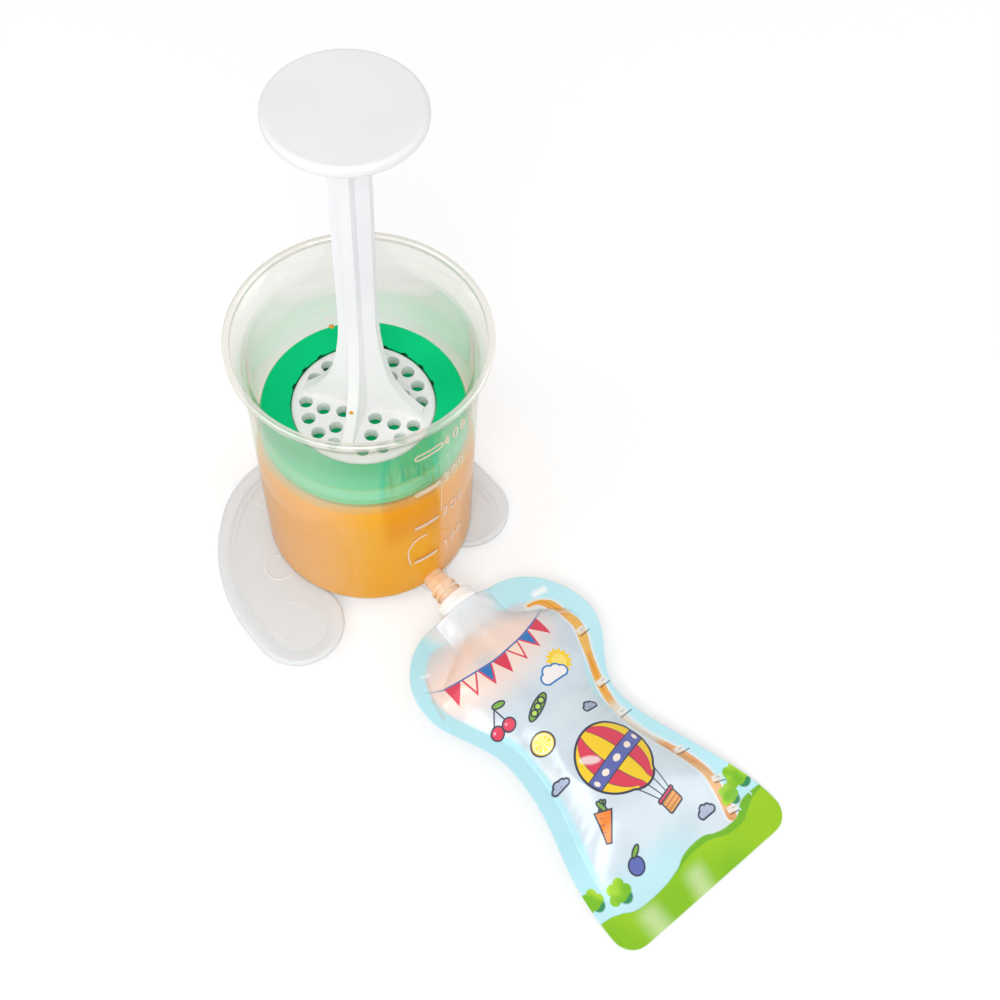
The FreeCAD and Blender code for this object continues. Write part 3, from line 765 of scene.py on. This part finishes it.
def seam_height(along):
    """Height of the sealed border above the table."""
    return keyed(along, SPOUT_HEIGHT, 6.6, 6.4, 6.2, 1.1)


STRIP_LINE = ((19.9, 14.7), (23.3, 15.4), (26.2, 17.6), (28, 22), (28.4, 26), (29.4, 30.5),
              (29, 34.5), (26.4, 40.5), (23.8, 47), (21.4, 53.5), (19.8, 59.5), (19, 66),
              (18.8, 72), (20.4, 80), (23.4, 88), (26, 95.5), (27.8, 103), (27.4, 109),
              (26.4, 115), (25.2, 120))


def smooth_line(corners, count):
    """A smooth open line through the corners (Catmull-Rom), as an array of points."""
    knots = np.array([corners[0], *corners, corners[-1]], dtype=float)
    points = []
    for index in range(1, len(knots) - 2):
        before, start, end, after = knots[index - 1:index + 3]
        for share in np.linspace(0, 1, count, endpoint=False):
            points.append(0.5 * (2 * start + (end - before) * share
                                 + (2 * before - 5 * start + 4 * end - after) * share ** 2
                                 + (3 * start - before - 3 * end + after) * share ** 3))
    points.append(knots[-2])
    return np.array(points)


def away_from_line(across, along, line):
    """Distance in mm of every grid point from an open line."""
    nearest = np.full(across.shape, 1e9)
    for start, end in zip(line, line[1:]):
        run = end - start
        share = ((across - start[0]) * run[0] + (along - start[1]) * run[1]) / max(run @ run, 1e-9)
        share = np.clip(share, 0, 1)
        nearest = np.minimum(nearest, np.hypot(across - start[0] - share * run[0],
                                               along - start[1] - share * run[1]))
    return nearest


def outline_points():
    """The pouch's outline, from its left bottom corner over the top to the right bottom corner."""
    down = POUCH_LENGTH * (1 - np.cos(np.linspace(0, math.pi, 150))) / 2
    wide = half_width(down)
    right = np.stack([sway(down) + wide, down], axis=-1)
    left = np.stack([sway(down) - wide, down], axis=-1)
    return np.concatenate([left[::-1], right])


def waves(across, along, seed, count, low, high):
    """Smooth random undulation from a few sine waves, about -1 to 1."""
    picker = random.Random(seed)
    total = np.zeros_like(across)
    for _ in range(count):
        length = picker.uniform(low, high)
        angle = picker.uniform(0, math.pi)
        phase = picker.uniform(0, 2 * math.pi)
        total += np.sin(2 * math.pi * (across * math.cos(angle) + along * math.sin(angle)) / length + phase)
    return total / math.sqrt(count)


def dents(across, along, front):
    """Long low swells and shallow dents of a half-full pouch."""
    swell_seed, dimple_seed = (11, 21) if front else (12, 22)
    swell = waves(across, along, swell_seed, 7, 34, 70) * 0.42
    return swell - np.abs(waves(across, along, dimple_seed, 5, 22, 44)) * 0.36


def puckers(across, along, filled):
    """Short puckers that run in from the seam, strongest at the waist and shoulders."""
    run = along + 0.25 * across
    pucker = np.sin(run * 2 * math.pi / 6.3 + 1.3 * np.sin(run / 5))
    pucker += 0.6 * np.sin(run * 2 * math.pi / 3.9 + 2.1)
    band = np.exp(-((np.abs(across) - filled + 3.5) / 3.6) ** 2)
    curl = 0.35 + 0.65 * np.exp(-((along - WAIST_AT) / 17) ** 2) + 0.4 * np.exp(-((along - 24) / 10) ** 2)
    return 0.24 * pucker * band * curl * np.where(across < 0, 0.4, 1)


def spout_folds(across, along, inside):
    """Folds that fan out from the spout's foot."""
    angle = np.arctan2(across, along + 5)
    reach = np.hypot(across, along + 5)
    fan = np.sin(angle * 9 + 0.6) + 0.7 * np.sin(angle * 15 + 2)
    return fan * 0.5 * np.exp(-((reach - 26) / 13) ** 2) * np.clip(inside * 2.5, 0, 1)


def film_surface(side):
    """Grid of the film's outer face: across, along and height in mm, and the fields of its looks."""
    columns, rows = 150, 270
    share = np.linspace(-1, 1, columns + 1)
    share = np.sign(share) * (1 - (1 - np.abs(share)) ** 1.15)
    step = np.linspace(0, 1, rows + 1)
    down = POUCH_LENGTH * (0.5 - 0.5 * np.cos(math.pi * step)) * 0.35 + POUCH_LENGTH * step * 0.65
    along, share = np.meshgrid(down, share, indexing="ij")
    across = share * half_width(along)
    filled = filled_width(along)
    front = side > 0
    crown = keyed(along, 4.7, 9, 8.4, 9.6, 0.15) if front else keyed(along, 4.7, 5.6, 5.4, 5.2, 0.15)
    inside = np.clip(1 - np.abs(across / filled) ** 2.15, 0, 1)
    depth = np.clip((filled - np.abs(across)) / 9, 0, 1)
    soft = np.clip(along / 12, 0, 1) * np.clip((POUCH_LENGTH - along) / 14, 0, 1)
    height = crown * inside ** 0.92 + spout_folds(across, along, inside)
    height += (dents(across, along, front) * depth + puckers(across, along, filled)) * soft
    # never lower than a plain cushion over the filling, with a smooth change between the two
    under = crown * np.clip(1 - (across / filled) ** 2, 0, 1) - 0.2 * depth
    height = (height + under + np.sqrt((height - under) ** 2 + 0.3 * depth)) / 2
    ripple = 0.16 * np.sin(along / 7 + 2 * np.sign(across)) * np.clip((np.abs(across) - filled) / 6, 0, 1)
    level = seam_height(along) + side * (0.35 + height) + ripple * soft
    placed = across + sway(along)
    edge = np.minimum(away_from_line(placed, along, outline_points()), POUCH_LENGTH - along)
    strip = away_from_line(placed, along, smooth_line(STRIP_LINE, 6))
    return placed, along, level, {"rim": edge, "puff": depth, "strip": strip}


def make_film(name, side, material, node_name):
    across, along, level, fields = film_surface(side)
    rows, columns = across.shape
    points = np.stack([across * MM, -(POUCH_TOP + along) * MM, level * MM], axis=-1).reshape(-1, 3)
    faces = []
    for row in range(rows - 1):
        for column in range(columns - 1):
            first = row * columns + column
            quad = (first, first + columns, first + columns + 1, first + 1)
            faces.append(quad if side > 0 else quad[::-1])
    film = mesh_object(name, points, faces, material)
    for field, values in fields.items():
        stored = film.data.attributes.new(field, "FLOAT", "POINT")
        stored.data.foreach_set("value", values.reshape(-1))
    shell = film.modifiers.new("shell", "SOLIDIFY")
    shell.thickness = 0.25 * MM
    shell.offset = -1
    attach(film, "pouch")
    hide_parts(node_name)


# ---- pouch print
INK = (52, 56, 78)


class Print(Look):
    """Flat print on the film: distances to simple shapes, in mm, painted one over the other."""

    joined = Nodes.least  # shapes put together
    common = Nodes.most  # where all the shapes overlap

    def __init__(self, name):
        super().__init__(name, Metallic=0.1, Specular_IOR_Level=0.4, Coat_Weight=0.25, Coat_Roughness=0.12)
        self.x, y = self.xyz()[:2]
        self.up = y + POUCH_TOP
        self.spot = self.vector(self.x, self.up, 0)
        self.colour = None

    def circle(self, x, down, radius):
        away = self.node("ShaderNodeVectorMath", self.spot, (x, -down, 0), operation="DISTANCE")
        return Number(self, away.outputs["Value"]) - radius

    def turned(self, x, down, degrees, wide=1, high=1):
        """Coordinates about a centre, turned and stretched: for ellipses and boxes."""
        cosine = math.cos(math.radians(degrees))
        sine = math.sin(math.radians(degrees))
        dx = self.x - x
        dy = self.up + down
        return dx * (cosine / wide) + dy * (sine / wide), dy * (cosine / high) - dx * (sine / high)

    def ellipse(self, x, down, wide, high, degrees=0):
        u, v = self.turned(x, down, degrees, wide, high)
        reach = self.length(u, v)
        steep = self.length(u / wide, v / high)
        return reach * (reach - 1) / self.most(steep, 0.02)

    def box(self, x, down, wide, high, corner=0, degrees=0):
        u, v = self.turned(x, down, degrees)
        out_u = abs(u) - (wide - corner)
        out_v = abs(v) - (high - corner)
        outside = self.length(self.most(out_u, 0), self.most(out_v, 0))
        return outside + self.least(self.most(out_u, out_v), 0) - corner

    def segment(self, start, end, half):
        """A straight line with round ends."""
        middle = ((start[0] + end[0]) / 2, (start[1] + end[1]) / 2)
        reach = math.dist(start, end) / 2
        degrees = -math.degrees(math.atan2(end[1] - start[1], end[0] - start[0]))
        return self.box(*middle, reach + half, half, half, degrees)

    def lattice(self):
        """The fine crossed ridges of the sealing tool, -1 to 1."""
        one = self.sine((self.x + self.up) * 5.2)
        return one * self.sine((self.x - self.up) * 5.2)

    def lay(self, cover, colour):
        self.colour = self.mix(cover, self.colour, colour)

    def paint(self, shape, colour, edge=0.14, strength=1):
        self.lay(self.fall(shape, -edge, edge, strength), colour)

    def stroke(self, shape, colour=INK, half=0.3):
        self.paint(abs(shape) - half, colour, 0.12)

    def drawn(self, shape, colour):
        self.paint(shape, colour)
        self.stroke(shape)


SILVER = ((194, 208, 218), (216, 228, 236))
BLUE = ((172, 228, 240), (198, 239, 246))
PEACH = (248, 222, 210)
BERRY = (222, 60, 88)
YELLOW = (248, 208, 36)
SKY = (40, 120, 190)
PLUM = (92, 104, 176)
PINK = (240, 160, 184)
LEAF = (120, 170, 60)
CARROT = (240, 132, 44)
GREY_BLUE = (168, 180, 204)


def silver_and_blue(ink):
    """The two ground tones of both films: the silver middle and the sealed border."""
    silver = ink.clouded(ink.noise(22, 3, 0.4), *SILVER, 0.35, 0.7)
    return silver, ink.mix(ink.noise(30, 3), *BLUE)


def paint_ground(ink):
    """Silver middle with puree showing through at the top, the pale blue sealed border, painted highlights on
    the left and a left crease that is partly painted shade.
    """
    ink.colour, blue = silver_and_blue(ink)
    ink.lay(ink.fall(ink.ellipse(-9, 24, 32, 17), -12, 5, 0.95), PEACH)
    # painted highlights: two soft white streaks on the left of the silver
    for start, end, half in (((-24.5, 38), (-21, 53), 3), ((-18.5, 60), (-17, 74), 1)):
        ink.paint(ink.segment(start, end, half), WHITE, 3.4, 0.9)
    narrow = ink.fall(ink.x, -22, -12, 2.4) * ink.ramp(ink.up, -52, -42)
    wide = ink.ramp(ink.x, 6, 12, 0, 2.6) * ink.ramp(ink.up, -22, -14)
    ink.lay(ink.fall(ink.attribute("rim") + narrow - wide, 7.2, 9.2), blue)
    ink.lay(ink.fall(ink.up, -118, -106, 0.8) * ink.fall(ink.x, -6, 18), blue)
    # the crease along the left edge: puree in the fold, partly painted shade
    for start, end in (((-28.2, 14.6), (-31.2, 22.5)), ((-31.2, 22.5), (-32.4, 30))):
        ink.paint(ink.segment(start, end, 0.2), (206, 160, 130), 1.2, 0.6)
    # painted highlight on the fold at the top left
    ink.paint(ink.segment((-29, 12.8), (-26.4, 13.8), 0.3), (250, 252, 252), 0.9, 0.9)
    ink.lay(ink.fall(ink.ellipse(-3, 3, 15, 10, -8), -4, 3, 0.92), (232, 233, 238))


TICKS = ((28.8, 36.3, 10), (21.9, 56, 0), (19.4, 69.4, 0), (25.6, 93, -8), (29.6, 109, -16),
         (27, 120.2, -12))  # across, down and degrees of lean


def paint_strip(ink):
    """The see-through measuring strip along the right side: puree behind clear film, with ticks."""
    strip = ink.attribute("strip")
    along = -ink.up
    half = ink.ramp(along, 14.6, 18.5, 0.4, 1.8, "LINEAR") + ink.ramp(along, 25, 31, 0, 0.4)
    half = half - ink.ramp(along, 36, 46, 0, 0.7) + ink.ramp(along, 84, 96, 0, 0.4)
    shape = strip - half
    food = ink.noise(60, 3, 0.5)
    upper = ink.clouded(food, (228, 150, 28), (240, 180, 72))
    lower = ink.clouded(food, (222, 150, 86), (236, 186, 130))
    ink.paint(shape - 0.9, (238, 238, 236), 0.6, 0.7)
    shown = ink.most(ink.ramp(along, 60, 66, 1, 0.35), ink.ramp(along, 80, 87))
    ink.lay(ink.fall(shape, -0.2, 0.2) * shown, ink.mix(ink.ramp(along, 52, 80), upper, lower))
    # painted highlight lines along the strip
    strip_highlight = ink.common(abs(strip - 0.9) - 0.25, along - 60)
    ink.paint(strip_highlight, (248, 204, 120), 0.4, 0.5)
    # painted highlight on the fold at the strip's start
    ink.paint(ink.segment((29.2, 13.2), (25.2, 12.7), 1.1), (252, 253, 253), 1.3, 0.95)
    ink.paint(ink.segment((26.6, 24.6), (29.4, 25.8), 0.3), (240, 222, 216), 0.35, 0.9)
    for x, down, degrees in TICKS:
        ink.paint(ink.box(x + 0.2, down - 1.7, 2.2, 1.1, 0.4, degrees), (238, 234, 228), 0.2, 0.85)
        ink.paint(ink.box(x + 0.8, down, 2.9, 0.2, 0.1, degrees), INK, 0.1, 0.85)
        ink.paint(ink.box(x + 0.8, down - 1.7, 0.9, 0.14, 0.1, degrees), INK, 0.1, 0.6)


def paint_bunting(ink):
    """A string of pennants hung across the top in a shallow arc."""
    centre = (-4, -29)
    radius = 55
    pitch = 6.4
    dx = ink.x - centre[0]
    dy = ink.up + centre[1]
    turn = ink.turn(dx, -dy)
    run = turn * radius
    number = ink.math("ROUND", run / pitch)
    u = abs(run - number * pitch)
    v = ink.length(dx, dy) - radius
    flag = ink.common(v * 0.38 + u - 2.75, -v, abs(number) - 3.5)
    third = ink.math("MODULO", number + 9, 3)  # 9 keeps the numbers above zero
    tone = ink.mix(ink.ramp(third, 0.4, 0.6), BERRY, (252, 226, 206))
    tone = ink.mix(ink.ramp(third, 1.4, 1.6), tone, SKY)
    ink.paint(flag, tone)
    ink.stroke(flag, BERRY, 0.34)
    ink.paint(ink.common(abs(v) - 0.3, abs(turn) - 24.5 / radius), SKY)


def paint_cloud(ink, x, down, size, fill=GREY_BLUE, line=INK):
    puffs = [ink.circle(x + size * a, down - size * b, size * r)
             for a, b, r in ((-1.05, 0.05, 0.66), (-0.3, 0.55, 0.78), (0.55, 0.4, 0.7), (1.15, 0, 0.6))]
    base = ink.box(x, down + size * 0.25, size * 1.5, size * 0.38, size * 0.36)
    cloud = ink.joined(*puffs, base)
    ink.paint(cloud, fill)
    ink.stroke(cloud, line, 0.34)


def paint_sun(ink, x, down, size):
    u, v = ink.turned(x, down, 0)
    reach = ink.length(u, v)
    rays = ink.cosine(ink.turn(v, u) * 14)
    ink.paint(reach - (rays * (size * 0.18) + size * 1.25), YELLOW, 0.3)
    ink.paint(reach - size * 0.78, (252, 226, 110))


def paint_cherries(ink, x, down):
    fork = (x + 1.5, down - 6.2)
    fruits = ((x - 2.2, down + 0.6), (x + 2.4, down + 1.2))
    for across, under in fruits:
        ink.paint(ink.segment((across, under - 2), fork, 0.26), INK)
    for across, under in fruits:
        ink.drawn(ink.circle(across, under, 2.3), BERRY)
        ink.paint(ink.circle(across - 0.7, under - 0.8, 0.5), PINK)
    ink.drawn(ink.ellipse(x + 3.6, down - 6.4, 2.3, 1.1, -18), LEAF)


def paint_lemon(ink, x, down, degrees):
    """Half a lemon: rind, pith and its wedges."""
    u, v = ink.turned(x, down, degrees)
    ink.drawn(ink.circle(x, down, 4.1), YELLOW)
    ink.paint(ink.circle(x, down, 3.4), (252, 246, 214))
    wedges = 0.26 - abs(ink.sine(ink.turn(v, u) * 4))
    ink.paint(ink.common(wedges, ink.circle(x, down, 3)), (250, 220, 70), 0.2)


def beside(x, down, degrees, across, under=0):
    """The place across and under a centre, along directions that are turned by degrees."""
    angle = math.radians(degrees)
    return (x + across * math.cos(angle) + under * math.sin(angle),
            down + under * math.cos(angle) - across * math.sin(angle))


def paint_peas(ink, x, down, degrees):
    ink.drawn(ink.ellipse(x, down, 5.6, 1.9, degrees), LEAF)
    for along in (-2.6, 0, 2.6):
        ink.drawn(ink.circle(*beside(x, down, degrees, along), 1.15), (186, 222, 96))


def paint_carrot(ink, x, down, degrees):
    u, v = ink.turned(x, down, degrees)
    for spread in (-32, 0, 32):
        ink.drawn(ink.ellipse(*beside(x, down, degrees, 6.6), 2.6, 0.8, degrees + spread), LEAF)
    ink.drawn(ink.common(abs(v) - (u * 0.2 + 1.9), abs(u) - 5.2), CARROT)
    for along in (-1.6, 0.8, 3):
        ink.paint(ink.common(abs(u - along) - 0.15, 0.3 - v, abs(v) - 1.8), INK, 0.1, 0.7)


def paint_balloon(ink, x, down, degrees):
    """A striped hot-air balloon, tilted in the wind."""
    u, v = ink.turned(x, down, degrees)

    def spot(across, under):
        return beside(x, down, degrees, across, under)

    for across in (-1, -0.35, 0.35, 1):
        ink.paint(ink.segment(spot(5.6 * across, 12.8), spot(2.6 * across, 22), 0.22), INK)
    basket = ink.box(*spot(0, 24.4), 3.5, 2.7, 0.8, degrees)
    weave = ink.sine(v * 4.2)
    ink.paint(basket, ink.mix(ink.ramp(weave, -0.2, 0.2), (204, 126, 66), (228, 166, 92)))
    ink.stroke(basket)
    ink.drawn(ink.box(*spot(0, 21.8), 4.1, 0.6, 0.5, degrees), BERRY)
    bag = ink.joined(ink.circle(x, down, 13.8), ink.ellipse(*spot(0, 7.6), 8, 7.6, degrees))
    chord = ink.math("SQRT", ink.most(195 - v * v, 34))  # half the bag's width at this height
    gore = ink.math("ARCSINE", ink.most(ink.least(u / chord, 1), -1))
    stripes = ink.cosine(gore * 6)
    tone = ink.mix(ink.ramp(stripes, -0.08, 0.08), BERRY, YELLOW)
    belt = abs(v + 1) - 2.6
    tone = ink.mix(ink.fall(belt, -0.1, 0.1), tone, PLUM)
    level = (v + 1) / 1.25
    dots = level * level - (ink.cosine(gore * 12) - 0.1)
    ink.paint(bag, ink.mix(ink.fall(dots, -0.1, 0.1), tone, (250, 236, 220)))
    ink.paint(ink.common(abs(stripes) - 0.1, bag, -belt), INK, 0.06, 0.8)
    ink.stroke(ink.common(belt, bag), INK, 0.2)
    ink.stroke(bag, INK, 0.42)
    shine = ink.ellipse(*spot(-6.4, -6), 1.5, 3.7, degrees + 40)
    ink.paint(ink.common(shine, bag), WHITE, 0.6, 0.6)


def paint_bush(ink, x, down, size):
    ink.paint(ink.box(x, down + size * 1.25, 0.3, size * 0.7, 0.1), (196, 226, 236), 0.12)
    ink.paint(ink.circle(x + size * 0.3, down + size * 0.62, size * 0.62), (40, 136, 84), 0.4)
    lobes = [ink.circle(x + size * a, down + size * b, size * r)
             for a, b, r in ((0, 0, 0.84), (-0.68, 0.3, 0.5), (0.66, 0.16, 0.5), (-0.4, -0.5, 0.5),
                             (0.35, -0.56, 0.52))]
    shade = ink.clouded(ink.noise(90, 2), (116, 186, 16), (170, 214, 40), 0.4, 0.6)
    ink.paint(ink.joined(*lobes), shade, 0.22)


FAR_HILLS = ((-40, 119), (-35.3, 119.1), (-28.2, 120.8), (-19.7, 123.6), (-14.8, 123.6), (-3.5, 122),
             (8.6, 118.9), (15.9, 120.8), (23.2, 121.9), (27.8, 120.9), (35.3, 117.9), (44, 118.4))
NEAR_HILLS = ((-40, 119.2), (-35.3, 119.3), (-28.2, 121), (-19.7, 123.8), (-14.8, 123.8), (-3.5, 122.4),
              (7.4, 121), (14.8, 122.1), (23.5, 124.4), (30.8, 122.4), (36.8, 119.9), (44, 118.8))
HEM_BUSHES = ((36.3, 110.6, 4.4), (29.2, 114.2, 3.4), (-33.6, 111.8, 3.6), (-24.4, 115.2, 3.9))


def paint_hem(ink):
    """Two rows of hills along the bottom, with bushes, and pale bands across the sealed edge that are painted
    highlights.
    """
    far_tone = ink.mix(ink.noise(40, 2), (100, 172, 14), (124, 188, 22))
    ink.paint(ink.up + ink.curve(ink.x, FAR_HILLS), far_tone, 0.3)
    for bush in HEM_BUSHES:
        paint_bush(ink, *bush)
    near_tone = ink.clouded(ink.noise(24, 2), (130, 192, 0), (154, 204, 0), 0.4, 0.62)
    ink.paint(ink.up + ink.curve(ink.x, NEAR_HILLS), near_tone, 0.2)
    dotted = ink.lattice() * 0.4 + 0.6
    # painted highlights: pale dotted bands across the hem
    for x, wide, lean in ((1.1, 4.4, 0.2), (-20.7, 4.6, 0)):
        away = abs(ink.x - x - (ink.up + 125.8) * lean)
        pale = ink.fall(away, 0, wide * 1.6, 0.8) * ink.fall(ink.up, -127.5, -122)
        ink.lay(pale * dotted, (236, 246, 206))


def paint_motifs(ink):
    paint_bunting(ink)
    paint_sun(ink, 12.5, 40.5, 3.6)
    paint_cloud(ink, 7.2, 44, 3.3, (246, 240, 240), SKY)
    paint_cherries(ink, -19, 46)
    paint_peas(ink, -5.5, 49.5, 24)
    paint_lemon(ink, -12.4, 60.6, 10)
    paint_cloud(ink, 10, 60.5, 1.7)
    paint_balloon(ink, 3.2, 80.4, 14)
    paint_carrot(ink, -15.2, 97, 62)
    paint_cloud(ink, -17.2, 76, 1.9)
    paint_cloud(ink, 18.2, 114, 2.1)
    ink.drawn(ink.circle(-14.2, 112.6, 2.9), PLUM)
    ink.drawn(ink.ellipse(-11.9, 108.9, 2.2, 0.9, 30), LEAF)


def film_finish(ink):
    """Glossy laminate; along the hem the sealing tool has pressed a fine lattice."""
    ink.set("Base Color", ink.colour)
    ink.set("Roughness", ink.ramp(ink.attribute("puff"), 0, 1, 0.34, 0.28))
    ink.bump(ink.lattice() * ink.fall(ink.up, -126, -123), 0.03, 0.0008)
    return ink.material


def front_laminate():
    ink = Print("front_laminate")
    paint_ground(ink)
    paint_motifs(ink)
    paint_strip(ink)
    paint_hem(ink)
    return film_finish(ink)


def back_laminate():
    """The back carries only the border, the hills and a plain silver middle."""
    ink = Print("back_laminate")
    ink.colour, blue = silver_and_blue(ink)
    ink.lay(ink.fall(ink.attribute("rim"), 7.2, 9.6), blue)
    paint_hem(ink)
    return film_finish(ink)


make_film("front_film", 1, front_laminate(), "pouch_front_film")
make_film("back_film", -1, back_laminate(), "pouch_back_film")


# ---- stage and light
def make_floor():
    size = 2.5
    floor = mesh_object("floor", [(-size, -size, 0), (size, -size, 0), (size, size, 0), (-size, size, 0)],
                        [(0, 1, 2, 3)], floor_material())


def floor_material():
    """Pale floor that glows more with distance, so that far off it meets the white of the world."""
    look = Look("floor", Base_Color=(0.62, 0.62, 0.62, 1), Roughness=0.9, Specular_IOR_Level=0,
                Emission_Color=(1, 1, 1, 1))
    glow = look.ramp(look.length(*look.xyz()[:2]), 500, 1300, 0.46, 0.66)
    look.set("Emission Strength", look.seen_directly() * glow)
    return look.material


def make_world():
    """White as seen, and a little dimmer for the light it gives."""
    scene.world = bpy.data.worlds.new("studio")
    scene.world.use_nodes = True
    look = Nodes(scene.world.node_tree)
    background = look.tree.nodes["Background"].inputs
    look.put(background["Color"], (1, 1, 1, 1))
    look.put(background["Strength"], look.ramp(look.seen_directly(), 0, 1, 0.62, 1, "LINEAR"))


def lamp(name, place, size, power):
    data = bpy.data.lights.new(name, "AREA")
    data.shape = "DISK"
    data.size = size
    data.energy = power
    made = add(name, data)
    aim = Vector((0, -0.06, 0.05)) - Vector(place)
    made.matrix_world = Matrix.Translation(place) @ aim.to_track_quat("-Z", "Y").to_matrix().to_4x4()


make_floor()
make_world()
lamp("key", (-0.62, -0.62, 0.95), 0.6, 3.7)
lamp("front", (-0.75, -1.05, 0.42), 0.9, 3.4)
lamp("fill", (0.85, -0.65, 0.5), 0.8, 2)
lamp("left", (-0.7, 0.16, 0.72), 0.35, 1.5)
scene.view_settings.view_transform = "Standard"
